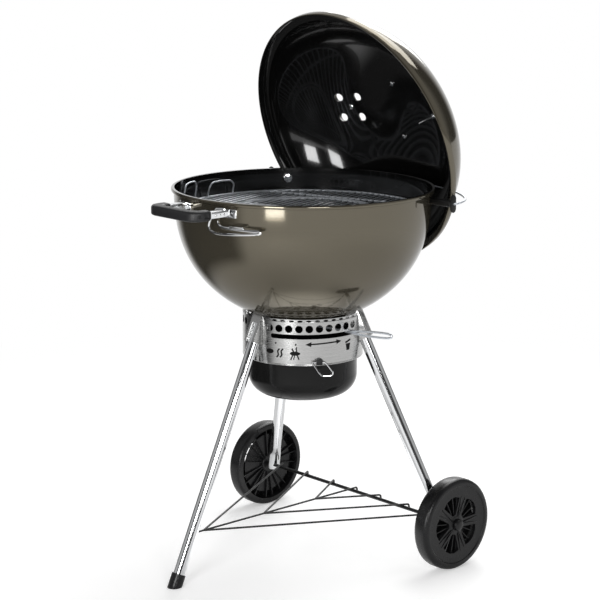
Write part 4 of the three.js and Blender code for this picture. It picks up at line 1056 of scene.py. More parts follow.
class GRILL_OT_ash_pot(bpy.types.Operator):
    """Spin the enamelled ash pot with its rolled lip"""

    bl_idname = "grill.ash_pot"
    bl_label = "Ash pot"

    def execute(self, context):
        bottom, top = (corner.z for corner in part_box("ash_pot"))
        lip = box_size("ash_pot").x / 2

        def wall(inset):
            bend = POT_CORNER - inset
            turns = [math.pi / 2 * row / 14 for row in range(15)]
            return about(POT_RADIUS - POT_CORNER, bottom + POT_CORNER,
                         [(bend * math.sin(turn), -bend * math.cos(turn)) for turn in turns])

        profile = [(0, bottom)] + wall(0)
        profile += about(POT_RADIUS, top, [(0, -0.016), (0.0006, -0.0145)])
        profile += about(lip, top, [(-0.0012, -0.0082), (0, -0.0062), (0, -0.0012),
                                    (-0.0005, -0.0003), (-0.0012, 0), (-0.0019, -0.0004),
                                    (-0.002, -0.0066)])
        profile.append((POT_RADIUS - POT_SHEET + 0.0004, top - 0.016))
        profile += list(reversed(wall(POT_SHEET))) + [(0, bottom + POT_SHEET)]
        settle(spun(profile, 128, closed=False), "pot", "ash_pot", "pot_enamel", "ash_pot")
        return {"FINISHED"}


LATCH_ANGLE = -124
LATCH_WIRE = 0.0036
LATCH_OUT = 0.005


def at_latch(along, out, down):
    """A point in front of the plate at the latch: along the wall, out and down."""
    tangent = polar(1, LATCH_ANGLE + 90) - AXIS
    place = polar(RING_RADIUS + 0.0018 + out, LATCH_ANGLE, RING_BOTTOM + 0.01 - down)
    return place + tangent * along


class GRILL_OT_latch(bpy.types.Operator):
    """Bend the latch's wire and mould its clip"""

    bl_idname = "grill.latch"
    bl_label = "Latch"

    def execute(self, context):
        near, far = LATCH_OUT, LATCH_OUT + LATCH_WIRE / 2
        corners = [(0.0, near, 0), (0.0162, far, 0.026), (0.0225, far, 0.0305),
                   (0.0415, far, 0.0305), (0.0455, far, 0.0245), (0.028, near, 0), (0.0, near, 0)]
        points = [at_latch(*corner) for corner in corners]
        loop = wire(rounded_path(points, 0.004), LATCH_WIRE)
        settle(loop, "latch_wire", "pot_latch", "chrome", "pot_latch")
        dressed("latch_clip", "latch_holder", "grill", "black_plastic", 0.001, 3)
        return {"FINISHED"}


# Stand: sockets, legs, foot, axle and rack

FOOT_REACH = 0.3686
WHEEL_LEG_SIDE = 0.2779
LEG_SHEET = 0.0015
# Length, thickness and width of each step towards the flattened end at the axle
LEG_END = ((0.008, 0.9, 1.02), (0.012, 0.62, 1.06), (0.01, 0.5, 1.04), (0.034, 1, 1.0),
           (0.007, 1, 0.98), (0.003, 1, 0.86))
LEG_END_LENGTH = 0.062
CAP_GAP, CAP_WALL, CAP_BELOW = 0.0003, 0.0028, -0.02
HUB_BORE = 0.0043
AXLE_RADIUS = 0.004
RACK_NOSE, RACK_START, RACK_HOOK = 0.301, 0.013, 0.008
# Where the pairs of side wires begin along the middle one, and how far out they end
RACK_PAIRS = ((0, 0.258), (0.373, 0.169), (0.71, 0.0786))


def leg_ends(name):
    """The middle of a leg's tube at its foot or axle and at its top."""
    top = polar(RING_RADIUS - 0.0018, LEG_ANGLES[name], BOWL_BOTTOM - 0.0033)
    if name == "foot":
        return Vector((min(AXIS.x - FOOT_REACH, box_middle("foot_cap").x), 0, 0)), top
    side = -1 if name == "near_wheel" else 1
    return Vector((AXLE.x, side * WHEEL_LEG_SIDE, AXLE.z)), top


def leg_point(name, height):
    low, top = leg_ends(name)
    return low.lerp(top, (height - low.z) / (top.z - low.z))


class GRILL_OT_legs(bpy.types.Operator):
    """Draw the three chrome legs, two of them flattened at the axle"""

    bl_idname = "grill.legs"
    bl_label = "Legs and sockets"

    def execute(self, context):
        radius = context.scene.grill_sizes.leg_radius
        for name in LEG_ANGLES:
            low, top = leg_ends(name)
            direction = (low - top).normalized()
            crown = leg_point(name, BOWL_BOTTOM + 0.0145)
            foot = leg_point(name, 0.0105 if name == "foot" else AXLE.z)
            length = (foot - crown).length
            start()
            bpy.ops.mesh.primitive_circle_add(vertices=40, radius=radius, fill_type="NOTHING")
            piece = bpy.context.object
            edit(piece)
            if name == "foot":
                extrude(0, 0, length)
            else:
                extrude(0, 0, length - LEG_END_LENGTH)
                for step, thick, wide in LEG_END:
                    extrude(0, 0, step)
                    bpy.ops.transform.resize(value=(thick, wide, 1))
                bpy.ops.mesh.edge_face_add()
            turned_out()
            if name == "foot":
                modified(piece, "SOLIDIFY", thickness=LEG_SHEET, offset=-1)
            outward = polar(1, LEG_ANGLES[name]) - AXIS
            x = (outward - direction * outward.dot(direction)).normalized()
            turn = Matrix((x, direction.cross(x), direction)).transposed().to_4x4()
            placed(piece, Matrix.Translation(crown) @ turn)
            settle(piece, f"leg_tube_{name}", "grill", "chrome", f"leg_{name}", angle=50)
            dressed(f"leg_socket_{name}", f"leg_bracket_{name}", "grill", "aluminium", 0.0012, 3)
        return {"FINISHED"}


class GRILL_OT_foot_cap(bpy.types.Operator):
    """Spin the foot's cap on its leg's line and cut it level with the floor"""

    bl_idname = "grill.foot_cap"
    bl_label = "Foot cap"

    def execute(self, context):
        radius = context.scene.grill_sizes.leg_radius
        low, top = leg_ends("foot")
        inner, outer = radius + CAP_GAP, radius + CAP_WALL
        profile = about(inner, 0, [(0, 0.0268), (0.0008, 0.0285)])
        profile += about(outer, 0, [(-0.0008, 0.0288), (0, 0.0276), (0, 0.004), (0, CAP_BELOW)])
        profile += [(0, CAP_BELOW), (0, 0.0095), (inner, 0.0095)]
        piece = spun_here(profile, 64, closed=True)
        placed(piece, cross_frame(low, top - low, Vector((0, 1, 0))))
        sliced_off(piece, (0, 0, 0), (0, 0, -1))
        bevelled(tidy_mesh(piece), 0.0006)
        settle(piece, "foot_boot", "grill", "black_plastic", "foot_cap")
        return {"FINISHED"}


class GRILL_OT_axle(bpy.types.Operator):
    """Round the axle's bar and spin the two hub caps"""

    bl_idname = "grill.axle"
    bl_label = "Axle and hub caps"

    def execute(self, context):
        low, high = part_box("axle")
        bar = rod((AXLE.x, low.y, AXLE.z), (AXLE.x, high.y, AXLE.z), AXLE_RADIUS, 32)
        settle(bevelled(bar, 0.0008), "axle_bar", "grill", "black_wire", "axle")
        for name, side in (("near", -1), ("far", 1)):
            low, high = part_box(f"hub_cap_{name}")
            reach = high.y - low.y
            cap = [(HUB_BORE, 0), (0.0128, 0), (0.013, 0.0004), (0.013, reach * 0.45),
                   (0.0118, reach * 0.72), (0.0088, reach * 0.92), (0.004, reach), (0, reach),
                   (0, reach * 0.6), (HUB_BORE, reach * 0.6)]
            place = (AXLE.x, low.y if side > 0 else high.y, AXLE.z)
            piece = placed(spun_here(cap, 48, closed=True), cross_frame(place, (0, side, 0)))
            settle(piece, f"hub_button_{name}", "grill", "black_plastic", f"hub_cap_{name}")
        return {"FINISHED"}


class GRILL_OT_rack(bpy.types.Operator):
    """Bend the lower rack's wires from the foot leg over the axle"""

    bl_idname = "grill.rack"
    bl_label = "Lower rack"

    def execute(self, context):
        diameter = context.scene.grill_sizes.rack_wire
        low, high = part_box("bottom_rack")
        height = (low.z + high.z) / 2
        nose = AXIS.x - RACK_NOSE
        back = high.x - diameter / 2
        wires = [self.hooked(Vector((low.x, 0, height)), Vector((back, 0, height)), diameter)]
        for share, half in RACK_PAIRS:
            begin = Vector((nose + RACK_START + (AXLE.x - nose) * share, 0, height))
            for side in (-1, 1):
                end = Vector((back, side * half, height))
                wires.append(self.hooked(begin, end, diameter))
        settle(joined(wires), "rack_wires", "grill", "black_wire", "bottom_rack")
        return {"FINISHED"}

    @staticmethod
    def hooked(begin, end, diameter):
        """A wire that turns down behind the axle at its end."""
        along = (end - begin).normalized()
        tip = end - UP * RACK_HOOK - along * 0.001
        return wire(rounded_path([begin, end - along * 0.002, tip], 0.004, 4), diameter, 2)


# Wheels

WINDOWS = 5
WINDOW_STEP = 360 / WINDOWS
# Radius and angle of a window's corners
WINDOW_CORNERS = [(0.0235, -13), (0.0225, 0), (0.0235, 13), (0.0605, 25), (0.0645, 12),
                  (0.0655, 0), (0.0645, -12), (0.0605, -25)]
RIB_TURNS = (-13, 13, 27, 45)


class GRILL_OT_wheels(bpy.types.Operator):
    """Spin the wheels, cut their five windows and set the ribs behind them"""

    bl_idname = "grill.wheels"
    bl_label = "Wheels"

    def execute(self, context):
        for name, side in (("near", -1), ("far", 1)):
            node = f"wheel_{name}"
            place = (AXLE.x, box_middle(node).y, AXLE.z)
            piece = placed(self.wheel(), cross_frame(place, (0, side, 0)))
            settle(piece, f"road_wheel_{name}", node, "black_plastic", node)
        return {"FINISHED"}

    def wheel(self):
        half, radius = WHEEL_WIDTH / 2, WHEEL_RADIUS
        rim = radius - 0.015
        profile = [(rim, -half)]
        profile += about(radius, -half, [(-0.0075, 0), (-0.0034, 0.0014), (-0.0009, 0.0046),
                                         (0, 0.009)])
        profile += about(radius, half, [(0, -0.0105), (-0.001, -0.0058), (-0.0036, -0.0022),
                                        (-0.0076, -0.0003)])
        profile += about(rim, half, [(0.0022, 0), (0.0006, -0.0003), (0, -0.0012),
                                     (-0.0008, -0.0022), (-0.0022, -0.0024)])
        profile += about(0, half, [(0.07, -0.0026), (0.05, -0.0038), (0.026, -0.0048),
                                   (0.021, -0.0044), (0.0185, -0.0034), (0.0165, -0.0028),
                                   (HUB_BORE, -0.0028)])
        profile += about(0, -half, [(HUB_BORE, 0.004), (0.019, 0.004), (0.0205, 0.0055)])
        profile.append((0.0215, half - 0.0105))
        profile += about(rim, half, [(-0.002, -0.0105), (0, -0.0125)])
        piece = spun_here(profile, 128, closed=True)
        turns = [WINDOW_STEP * index for index in range(WINDOWS)]
        cut(piece, [self.window(turn + WINDOW_STEP / 2) for turn in turns])
        web = about(0, -half, [(0.019, 0.012), (0.071, 0.0125), (0.071, 0.014), (0.019, 0.0135)])
        parts = [piece, spun_here(web, 96, closed=True)]
        for turn in turns:
            parts += [self.rib(turn + more, half, rim) for more in RIB_TURNS]
            parts += [self.ridge(turn, side, half) for side in (-1, 1)]
        return joined(parts)

    @staticmethod
    def window(angle):
        """A rounded opening between two spokes."""
        points = [around(radius, angle + turn) for radius, turn in WINDOW_CORNERS]
        return bevelled(prism(points, 0.002, 0.03), 0.002, 3, angle=45)

    @staticmethod
    def rib(angle, half, rim):
        """A thin wall from the hub to the rim on the wheel's inner side."""
        inner, outer = 0.019, rim + 0.0005
        low, high = -half + 0.007, half - 0.0085
        centre = (*around((inner + outer) / 2, angle), (low + high) / 2)
        return bevelled(slab(centre, (outer - inner, 0.0024, high - low), angle), 0.0005, 1)

    @staticmethod
    def ridge(angle, side, half):
        """One of the two slim ridges along a spoke, which meet at the hub."""
        begin = Vector((*around(0.01, angle), half - 0.0036))
        end = Vector((*around(0.064, angle + 6 * side), half - 0.0034))
        turn = math.degrees(math.atan2(end.y - begin.y, end.x - begin.x))
        size = ((end - begin).length, 0.0022, 0.0032)
        return bevelled(slab((begin + end) / 2, size, turn), 0.0008, 3)


# Bowl handle, tool hook and lid holder

STRAP_SIDE = 0.075
RIVET_SHARES = (0.22, 0.42, 0.62)
HOOK_WIRE, HOOK_OUT = 0.0054, 0.013
# Angle round the bowl, and share of the hook's drop
HOOK_SHARES = [
    (-165.5, 0), (-168, 0), (-170, 0.03), (-171.5, 0.28), (-173.4, 0.55), (-174, 0.78),
    (-172.6, 0.93), (-169.8, 1), (-162.3, 0.97), (-155.2, 0.92), (-150.6, 0.87), (-148.9, 0.82),
    (-150.4, 0.77), (-154, 0.78), (-161.2, 0.76), (-167.2, 0.73), (-168.6, 0.66), (-168.8, 0.48),
]
HOLDER_BOLT_GROWTH = 1.4
HOOP_WIRE = 0.005
# Shares of the hoop's depth and of its half width
HOOP_SHARES = [(0, 1), (0.08, 1), (0.24, 0.965), (0.47, 0.875), (0.8, 0.58), (0.96, 0.26)]


class GRILL_OT_bowl_handle(bpy.types.Operator):
    """Mould the bowl handle's grip, round its two straps and add their rivets"""

    bl_idname = "grill.bowl_handle"
    bl_label = "Bowl handle"

    def execute(self, context):
        grip = refined("bowl_handle_grip", 0.0055, 4)
        low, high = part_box("bowl_handle_grip")
        middle = (low.z + high.z) / 2
        recesses = []
        for side in (-1, 1):
            y = side * (high.y - 0.0005)
            recesses.append(slab((high.x - 0.012, y, middle), (0.014, 0.006, 0.011)))
            recesses.append(slab((low.x + 0.019, y, middle), (0.0035, 0.007, 0.005)))
        cut(grip, [bevelled(recess, 0.0008) for recess in recesses])
        settle(grip, "handle_grip", "grill", "grip", "bowl_handle_grip")
        for name, side in (("near", -1), ("far", 1)):
            dressed(f"bowl_handle_strap_{name}", f"handle_strap_{name}", "grill", "chrome", 0.0008)
            self.rivets(name, side)
        return {"FINISHED"}

    @staticmethod
    def rivets(name, side):
        """Three domed rivet heads on a strap's outer side."""
        low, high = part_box(f"bowl_handle_strap_{name}")
        head = [(0, 0.0018), (0.0012, 0.0016), (0.0021, 0.0009), (0.0024, 0), (0, 0)]
        heads = []
        for share in RIVET_SHARES:
            place = (low.x + (high.x - low.x) * share, side * STRAP_SIDE, (low.z + high.z) / 2)
            heads.append(placed(spun_here(head, 24), cross_frame(place, (0, side, 0))))
        settle(joined(heads), f"strap_rivets_{name}", "grill", "chrome")


class GRILL_OT_tool_hook(bpy.types.Operator):
    """Bend the tool hook's wire and round its tab"""

    bl_idname = "grill.tool_hook"
    bl_label = "Tool hook"

    def execute(self, context):
        low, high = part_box("tool_hook")
        top, drop = high.z - HOOK_WIRE / 2, high.z - low.z - HOOK_WIRE
        radius = context.scene.grill_sizes.bowl_radius + HOOK_OUT
        points = [polar(radius, angle, top - drop * share) for angle, share in HOOK_SHARES]
        hook = wire(points, HOOK_WIRE, smooth=True)
        settle(hook, "hook_wire", "grill", "chrome", "tool_hook")
        dressed("tool_hook_tab", "hook_tab", "grill", "chrome", 0.0006)
        return {"FINISHED"}


class GRILL_OT_lid_holder(bpy.types.Operator):
    """Shape the lid holder's posts, bolts and hoop"""

    bl_idname = "grill.lid_holder"
    bl_label = "Lid holder"

    def execute(self, context):
        for name in ("near", "far"):
            dressed(f"lid_holder_arm_{name}", f"holder_post_{name}", "grill", "black_wire",
                    0.0007, angle=40)
            node = f"lid_holder_bolt_{name}"
            bolt = grown(refined(node, 0.001, 3), HOLDER_BOLT_GROWTH)
            settle(bolt, f"holder_bolt_{name}", "grill", "chrome", node)
        low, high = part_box("lid_holder_hoop")
        half, back = high.y - HOOP_WIRE / 2, high.x - HOOP_WIRE / 2
        front, height = low.x + HOOP_WIRE / 2, (low.z + high.z) / 2
        points = [Vector((front + (back - front) * a, half * b, height)) for a, b in HOOP_SHARES]
        other = [Vector((point.x, -point.y, point.z)) for point in reversed(points)]
        hoop = wire(points + [Vector((back, 0, height))] + other, HOOP_WIRE, smooth=True)
        settle(hoop, "holder_hoop", "grill", "steel_wire", "lid_holder_hoop")
        return {"FINISHED"}


# Grates

GRATE_TURN = 17
GRATE_RIM, GRATE_WELL, GRATE_RIM_RADIUS = 0.267, 0.1563, 0.003
GRATE_PITCH = 0.016
FLAP_HINGE = 0.175
FLAP_BAR = FLAP_HINGE + 0.0046
FLAP_EYE_SIDE = 0.108
INSERT_RIM = 0.147
COAL_RADIUS, COAL_PITCH = 0.0035, 0.038
LUG_ANGLES = (45, 135, 225, 315)
# Angle of each lifting loop, and its rise compared with the lowest
LOOP_PLACES = [(93, 1), (121, 1.35), (-87, 1), (-59, 1)]
LOOP_WIRE, LOOP_HALF, LOOP_RISE, LOOP_LEAN = 0.004, 0.038, 0.034, 0.005


def chord(radius, offset):
    return math.sqrt(max(0.0, radius * radius - offset * offset))


def turned_about_axis(piece, angle):
    """Turns a piece about the bowl's axis."""
    there = Matrix.Translation(AXIS)
    turn = Matrix.Rotation(math.radians(angle), 4, "Z")
    return placed(piece, there @ turn @ there.inverted())


def cross_bar(x, half, height, radius, sides=12):
    """A bar across the others, as far to both sides as half says."""
    one, other = (AXIS + Vector((x, y, height)) for y in (-half, half))
    return rod(one, other, radius, sides)


def bars(pitch, reach, limit, height, radius):
    """Straight bars at an even pitch, each as long as reach says at its offset."""
    made = []
    count = int(limit / pitch)
    for index in range(-count, count + 1):
        offset = index * pitch
        for begin, end in reach(offset):
            one, other = (AXIS + Vector((x, offset, height)) for x in (begin, end))
            made.append(rod(one, other, radius, 10))
    return made


def full_bars(pitch, rim, height, radius):
    """Bars from side to side of a round rim."""

    def reach(offset):
        return [(-chord(rim, offset), chord(rim, offset))]

    return bars(pitch, reach, rim, height, radius)


class GRILL_OT_cooking_grate(bpy.types.Operator):
    """Lay out the cooking grate's middle, its two flaps and its lifting loops"""

    bl_idname = "grill.cooking_grate"
    bl_label = "Cooking grate"

    def execute(self, context):
        radius = context.scene.grill_sizes.grate_wire / 2
        rim_ring = ring(GRATE_RIM, GRATE_RIM_RADIUS, GRATE_HEIGHT)
        for side in (-1, 1):
            sliced_off(rim_ring, (AXIS.x + side * FLAP_HINGE, 0, 0), (side, 0, 0))
        parts = [rim_ring, ring(GRATE_WELL, GRATE_RIM_RADIUS, GRATE_HEIGHT)]
        for side in (-1, 1):
            half = chord(GRATE_RIM, FLAP_HINGE)
            parts.append(cross_bar(side * FLAP_HINGE, half, GRATE_HEIGHT, radius))

        def reach(offset):
            outer = min(FLAP_HINGE, chord(GRATE_RIM, offset))
            inner = chord(GRATE_WELL, offset)
            return [(-outer, -inner), (inner, outer)] if inner else [(-outer, outer)]

        parts += bars(GRATE_PITCH, reach, GRATE_RIM, GRATE_HEIGHT, radius)
        parts += [self.lug(angle) for angle in LUG_ANGLES]
        grid = turned_about_axis(joined(parts), GRATE_TURN)
        settle(grid, "grate_frame", "cooking_grate", "steel_wire", "cooking_grate")
        for index, (angle, share) in enumerate(LOOP_PLACES, 1):
            settle(self.loop(angle, share), f"lifting_loop_{index}", "cooking_grate",
                   "steel_wire", f"grate_loop_{index}")
        for name, turn in (("right", 0), ("left", 180)):
            node = f"grate_flap_{name}"
            flap = turned_about_axis(self.flap(radius), GRATE_TURN + turn)
            settle(flap, f"flap_{name}", node, "steel_wire", node)
        return {"FINISHED"}

    @staticmethod
    def lug(angle):
        """A small shelf under the well's rim that the insert rests on."""
        shelf = slab(polar(GRATE_WELL - 0.0035, angle, GRATE_HEIGHT - 0.0053),
                     (0.0155, 0.004, 0.004), angle)
        post = slab(polar(GRATE_WELL + 0.001, angle, GRATE_HEIGHT - 0.0035),
                    (0.004, 0.004, 0.0076), angle)
        return joined([bevelled(shelf, 0.0006), bevelled(post, 0.0006)])

    @staticmethod
    def loop(angle, share):
        """A lifting loop that stands on the grate's rim and leans inwards."""
        lean = GRATE_RIM - LOOP_LEAN
        spread = math.degrees(LOOP_HALF / lean)
        foot = GRATE_HEIGHT + GRATE_RIM_RADIUS + SEAT_GAP
        top = GRATE_HEIGHT + LOOP_RISE * share
        side = [(GRATE_RIM, 1, foot), (GRATE_RIM, 1, foot + LOOP_WIRE), (lean, 1, top - 0.010),
                (lean, 0.74, top - 0.00125)]
        points = [polar(radius, angle - spread * turn, height) for radius, turn, height in side]
        points.append(polar(lean, angle, top))
        points += [polar(radius, angle + spread * turn, height)
                   for radius, turn, height in reversed(side)]
        return wire(rounded_path(points, 0.006), LOOP_WIRE)

    @staticmethod
    def flap(radius):
        """The flap beyond the hinge on the side of +X."""
        edge = ring(GRATE_RIM, GRATE_RIM_RADIUS, GRATE_HEIGHT)
        for x, normal in ((FLAP_BAR, -1), (1, 1)):
            sliced_off(edge, (AXIS.x + x, 0, 0), (normal, 0, 0))
        half = chord(GRATE_RIM, FLAP_BAR)
        parts = [edge, cross_bar(FLAP_BAR, half, GRATE_HEIGHT, radius)]
        parts += bars(GRATE_PITCH, lambda offset: [(FLAP_BAR, chord(GRATE_RIM, offset))], half,
                      GRATE_HEIGHT, radius)
        for end in (-1, 1):
            place = AXIS + Vector((FLAP_HINGE, end * FLAP_EYE_SIDE, GRATE_HEIGHT))
            eye = spun_here([(0.0026, -0.0035), (0.005, -0.0035), (0.005, 0.0035),
                             (0.0026, 0.0035)], 28, closed=True)
            parts.append(placed(bevelled(eye, 0.0006), cross_frame(place, (0, 1, 0))))
        return joined(parts)


class GRILL_OT_grate_insert(bpy.types.Operator):
    """Lay out the round insert in the cooking grate's well"""

    bl_idname = "grill.grate_insert"
    bl_label = "Grate insert"

    def execute(self, context):
        radius = context.scene.grill_sizes.grate_wire / 2
        parts = [ring(INSERT_RIM, GRATE_RIM_RADIUS, GRATE_HEIGHT)]
        parts += full_bars(GRATE_PITCH, INSERT_RIM, GRATE_HEIGHT, radius)
        parts.append(cross_bar(0, INSERT_RIM, GRATE_HEIGHT, radius, 10))
        piece = turned_about_axis(joined(parts), GRATE_TURN)
        settle(piece, "insert", "grate_insert", "steel_wire", "grate_insert")
        return {"FINISHED"}


class GRILL_OT_charcoal_grate(bpy.types.Operator):
    """Lay out the charcoal grate low in the bowl"""

    bl_idname = "grill.charcoal_grate"
    bl_label = "Charcoal grate"

    def execute(self, context):
        rim = box_size("charcoal_grate").x / 2 - COAL_RADIUS
        parts = [ring(rim, COAL_RADIUS, CHARCOAL_HEIGHT)]
        parts += full_bars(COAL_PITCH, rim, CHARCOAL_HEIGHT, COAL_RADIUS)
        for x in (-rim / 2, rim / 2):
            parts.append(cross_bar(x, chord(rim, x), CHARCOAL_HEIGHT, COAL_RADIUS))
        piece = turned_about_axis(joined(parts), GRATE_TURN)
        settle(piece, "coal_grate", "charcoal_grate", "iron", "charcoal_grate")
        return {"FINISHED"}


class GRILL_OT_grate_tabs(bpy.types.Operator):
    """Round the tabs that the cooking grate rests on"""

    bl_idname = "grill.grate_tabs"
    bl_label = "Grate tabs"

    def execute(self, context):
        for index in range(1, 5):
            dressed(f"grate_tab_{index}", f"rest_tab_{index}", "grill", "black_enamel", 0.0005)
        return {"FINISHED"}


# Stage

CAMERA_DISTANCE = 4.0667
CAMERA_AZIMUTH = -42.379
CAMERA_HEIGHT = 1.4349
CAMERA_AIM_SIDE = -0.0063
CAMERA_AIM_HEIGHT = 0.5745
CAMERA_ROLL = 0.119
FOCAL_PIXELS = 1887.12
FRAME_PIXELS = 600
FLOOR_SPAN, FLOOR_DROP = 60, 0.0005
LAMP_AIM_HEIGHT = 0.85
# Azimuth of the floor's painted dark reflection, a corner that only glossy rays see dark
PAINTED_DARK_AZIMUTH = -142
GREY_AZIMUTHS = (-128, 45)
PAPER, FLOOR_GLOW, AMBIENT, GREY, DARK = 0.86, 0.34, 0.35, 0.4, 0.05
# Metres from the grill between which the painted bright reflection under the grill, the white far
# floor and the painted dark reflection in one corner rise
PAINTED_GLOW_FADE, FAR_FADE, PAINTED_DARK_FADE = (0.36, 0.1), (0.8, 2.2), (0.75, 1.15)
# Cosines between which a side of the room rises; the first pair is for the floor's painted dark
# reflection
PAINTED_DARK_EDGE, BACKDROP_EDGE, GREY_EDGE = (0.62, 0.85), (0.74, 0.93), (0.78, 0.96)
WHITE = (1, 1, 1, 1)
# Name, azimuth, elevation, distance, size and brightness
LAMPS = (
    ("left_strip", -65.5, -1, 2.4, (0.66, 1.05), 11),
    ("front_box", -29.5, 8, 3.6, (1.1, 1.0), 11),
    ("high_back", 105, 56, 3.0, (2.0, 2.1), 4.2),
    ("low_back", 125, 24, 3.0, (1.3, 1.1), 4.2),
)


def add_camera():
    right = Vector((*around(1, CAMERA_AZIMUTH), 0))
    away = Vector((-right.y, right.x, 0))
    place = AXIS - away * CAMERA_DISTANCE + UP * CAMERA_HEIGHT
    aim = AXIS + right * CAMERA_AIM_SIDE + UP * CAMERA_AIM_HEIGHT
    start()
    bpy.ops.object.camera_add(location=place)
    camera = bpy.context.object
    look = (aim - place).to_track_quat("-Z", "Y").to_matrix().to_4x4()
    roll = Matrix.Rotation(math.radians(CAMERA_ROLL), 4, "Z")
    camera.matrix_world = Matrix.Translation(place) @ look @ roll
    camera.data.sensor_width = 36
    camera.data.lens = camera.data.sensor_width * FOCAL_PIXELS / FRAME_PIXELS
    camera.data.clip_end = 200
    bpy.context.scene.camera = camera


def soft_light(name, azimuth, elevation, distance, size, brightness):
    """A rectangular lamp in a direction from the grill, of an even brightness."""
    turn, rise = math.radians(azimuth), math.radians(elevation)
    flat = Vector((math.sin(turn), -math.cos(turn), 0)) * math.cos(rise)
    aim = AXIS + UP * LAMP_AIM_HEIGHT
    place = aim + (flat + UP * math.sin(rise)) * distance
    start()
    bpy.ops.object.light_add(type="AREA", location=place)
    lamp = bpy.context.object
    lamp.name = name
    lamp.data.shape = "RECTANGLE"
    lamp.data.size, lamp.data.size_y = size
    lamp.data.energy = brightness * math.pi * size[0] * size[1]
    lamp.rotation_euler = (aim - place).to_track_quat("-Z", "Y").to_euler()
    lamp.visible_camera = False


def faded(tree, value, low, high):
    """A smooth rise from nothing at low to all at high."""
    feeds = {"Value": value, "From Min": low, "From Max": high}
    return added(tree, "ShaderNodeMapRange", feeds,
                 interpolation_type="SMOOTHSTEP").outputs["Result"]


def computed(tree, operation, *values):
    feeds = dict(enumerate(values))
    return added(tree, "ShaderNodeMath", feeds, operation=operation).outputs["Value"]


def glowing(tree, kind, strength):
    """A white emission or background."""
    return added(tree, kind, {"Color": WHITE, "Strength": strength}).outputs[0]


def mixed(tree, share, one, other):
    return added(tree, "ShaderNodeMixShader", {"Fac": share, 1: one, 2: other}).outputs["Shader"]


def fresh_tree(owner, kind):
    """An emptied node tree with its output."""
    owner.use_nodes = True
    owner.node_tree.nodes.clear()
    return owner.node_tree, added(owner.node_tree, kind).inputs["Surface"]


def facing(tree, place, azimuth, low, high):
    """How far a place lies in a direction from the grill: none at low, all of it at high."""
    turn = math.radians(azimuth)
    direction = (math.sin(turn), -math.cos(turn), 0.0)
    level = added(tree, "ShaderNodeVectorMath", {0: place, 1: (1, 1, 0)}, operation="MULTIPLY")
    unit = added(tree, "ShaderNodeVectorMath", {0: level.outputs["Vector"]},
                 operation="NORMALIZE")
    toward = added(tree, "ShaderNodeVectorMath", {0: unit.outputs["Vector"], 1: direction},
                   operation="DOT_PRODUCT")
    return faded(tree, toward.outputs["Value"], low, high)


def add_floor():
    """A white floor with the grill's shadow near it, and an even glow far away. In reflections
    only, it has a painted bright glow right under the grill and a painted dark corner.
    """
    start()
    bpy.ops.mesh.primitive_plane_add(size=FLOOR_SPAN, location=(0, 0, -FLOOR_DROP))
    floor = bpy.context.object
    floor.name = "floor"
    material = bpy.data.materials.new("studio_floor")
    tree, surface = fresh_tree(material, "ShaderNodeOutputMaterial")
    place = added(tree, "ShaderNodeTexCoord").outputs["Object"]
    reflected = added(tree, "ShaderNodeLightPath").outputs["Is Glossy Ray"]
    distance = added(tree, "ShaderNodeVectorMath", {0: place}, operation="LENGTH")
    distance = distance.outputs["Value"]
    paper = added(tree, "ShaderNodeBsdfDiffuse", {"Color": (PAPER, PAPER, PAPER, 1)})
    # Painted reflection: glossy rays see the floor glow brightly right under the grill and not at
    # all a little further out; other rays see the even glow
    under = faded(tree, distance, *PAINTED_GLOW_FADE)
    even = added(tree, "ShaderNodeMix", {"Factor": reflected, "A": FLOOR_GLOW, "B": under})
    glow = glowing(tree, "ShaderNodeEmission", even.outputs["Result"])
    lit = added(tree, "ShaderNodeAddShader", {0: paper.outputs["BSDF"], 1: glow})
    far = glowing(tree, "ShaderNodeEmission", 1)
    white = mixed(tree, faded(tree, distance, *FAR_FADE), lit.outputs["Shader"], far)
    # Painted reflection: beyond about a metre on one side, the floor is dark to glossy rays only
    corner = facing(tree, place, PAINTED_DARK_AZIMUTH, *PAINTED_DARK_EDGE)
    corner = computed(tree, "MULTIPLY", reflected, corner)
    corner = computed(tree, "MULTIPLY", corner, faded(tree, distance, *PAINTED_DARK_FADE))
    dark = glowing(tree, "ShaderNodeEmission", DARK)
    tree.links.new(mixed(tree, corner, white, dark), surface)
    floor.data.materials.append(material)


def add_world():
    """A room with a white backdrop, whose other sides are dark in reflections."""
    world = bpy.data.worlds.new("studio")
    bpy.context.scene.world = world
    tree, surface = fresh_tree(world, "ShaderNodeOutputWorld")
    path = added(tree, "ShaderNodeLightPath").outputs
    direction = added(tree, "ShaderNodeTexCoord").outputs["Generated"]
    white = facing(tree, direction, CAMERA_AZIMUTH + 180, *BACKDROP_EDGE)
    for azimuth in GREY_AZIMUTHS:
        side = facing(tree, direction, azimuth, *GREY_EDGE)
        white = computed(tree, "MULTIPLY_ADD", side, GREY, white)
    shade = added(tree, "ShaderNodeMapRange", {"Value": white, "To Min": DARK})
    kind = "ShaderNodeBackground"
    ambient = glowing(tree, kind, AMBIENT)
    reflected = glowing(tree, kind, shade.outputs["Result"])
    indirect = mixed(tree, path["Is Glossy Ray"], ambient, reflected)
    straight = computed(tree, "MAXIMUM", path["Is Camera Ray"], path["Is Transmission Ray"])
    tree.links.new(mixed(tree, straight, indirect, glowing(tree, kind, 1)), surface)


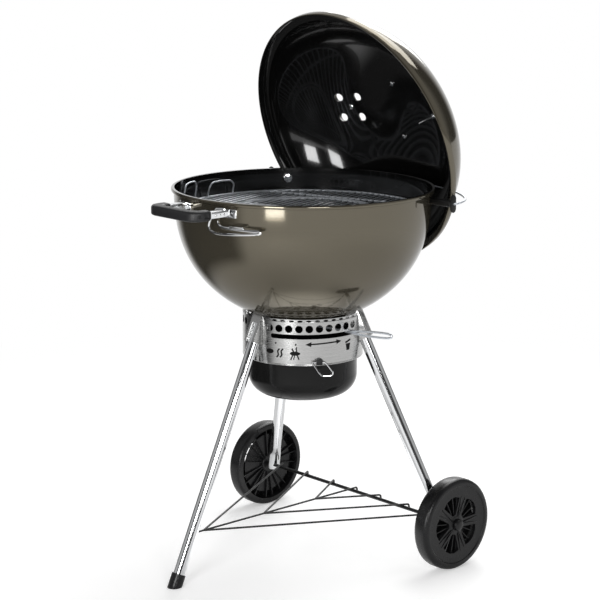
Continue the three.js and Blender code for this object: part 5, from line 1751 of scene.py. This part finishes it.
class GRILL_OT_stage(bpy.types.Operator):
    """Add the camera, the floor, the room and the soft lamps"""

    bl_idname = "grill.stage"
    bl_label = "Stage"

    def execute(self, context):
        add_camera()
        add_floor()
        add_world()
        for lamp in LAMPS:
            soft_light(*lamp)
        context.scene.view_settings.view_transform = "Standard"
        return {"FINISHED"}


class GRILL_PT_panel(bpy.types.Panel):
    """Lists the steps that build the grill"""

    bl_idname = "GRILL_PT_panel"
    bl_label = "Kettle grill"
    bl_space_type = "VIEW_3D"
    bl_region_type = "UI"
    bl_category = "Grill"

    def draw(self, context):
        column = self.layout.column()
        for settings in (context.scene.grill_sizes, context.scene.grill_colours):
            for name in settings.__annotations__:
                column.prop(settings, name)
        for step in STEPS:
            column.operator(step.bl_idname)


STEPS = (
    GRILL_OT_stage,
    GRILL_OT_bowl,
    GRILL_OT_lid,
    GRILL_OT_lid_damper,
    GRILL_OT_lid_handle,
    GRILL_OT_thermometer,
    GRILL_OT_ash_ring,
    GRILL_OT_control_plate,
    GRILL_OT_plate_marks,
    GRILL_OT_sweeper,
    GRILL_OT_ash_pot,
    GRILL_OT_latch,
    GRILL_OT_legs,
    GRILL_OT_foot_cap,
    GRILL_OT_axle,
    GRILL_OT_rack,
    GRILL_OT_wheels,
    GRILL_OT_bowl_handle,
    GRILL_OT_tool_hook,
    GRILL_OT_lid_holder,
    GRILL_OT_cooking_grate,
    GRILL_OT_grate_insert,
    GRILL_OT_charcoal_grate,
    GRILL_OT_grate_tabs,
)

CLASSES = (GrillSizes, GrillColours, *STEPS, GRILL_PT_panel)


def register():
    for item in CLASSES:
        bpy.utils.register_class(item)
    bpy.types.Scene.grill_sizes = bpy.props.PointerProperty(type=GrillSizes)
    bpy.types.Scene.grill_colours = bpy.props.PointerProperty(type=GrillColours)


def unregister():
    del bpy.types.Scene.grill_colours
    del bpy.types.Scene.grill_sizes
    for item in reversed(CLASSES):
        bpy.utils.unregister_class(item)


def main():
    register()
    for step in STEPS:
        module, name = step.bl_idname.split(".")
        getattr(getattr(bpy.ops, module), name)()
    bpy.context.view_layer.update()


if __name__ == "__main__":
    main()
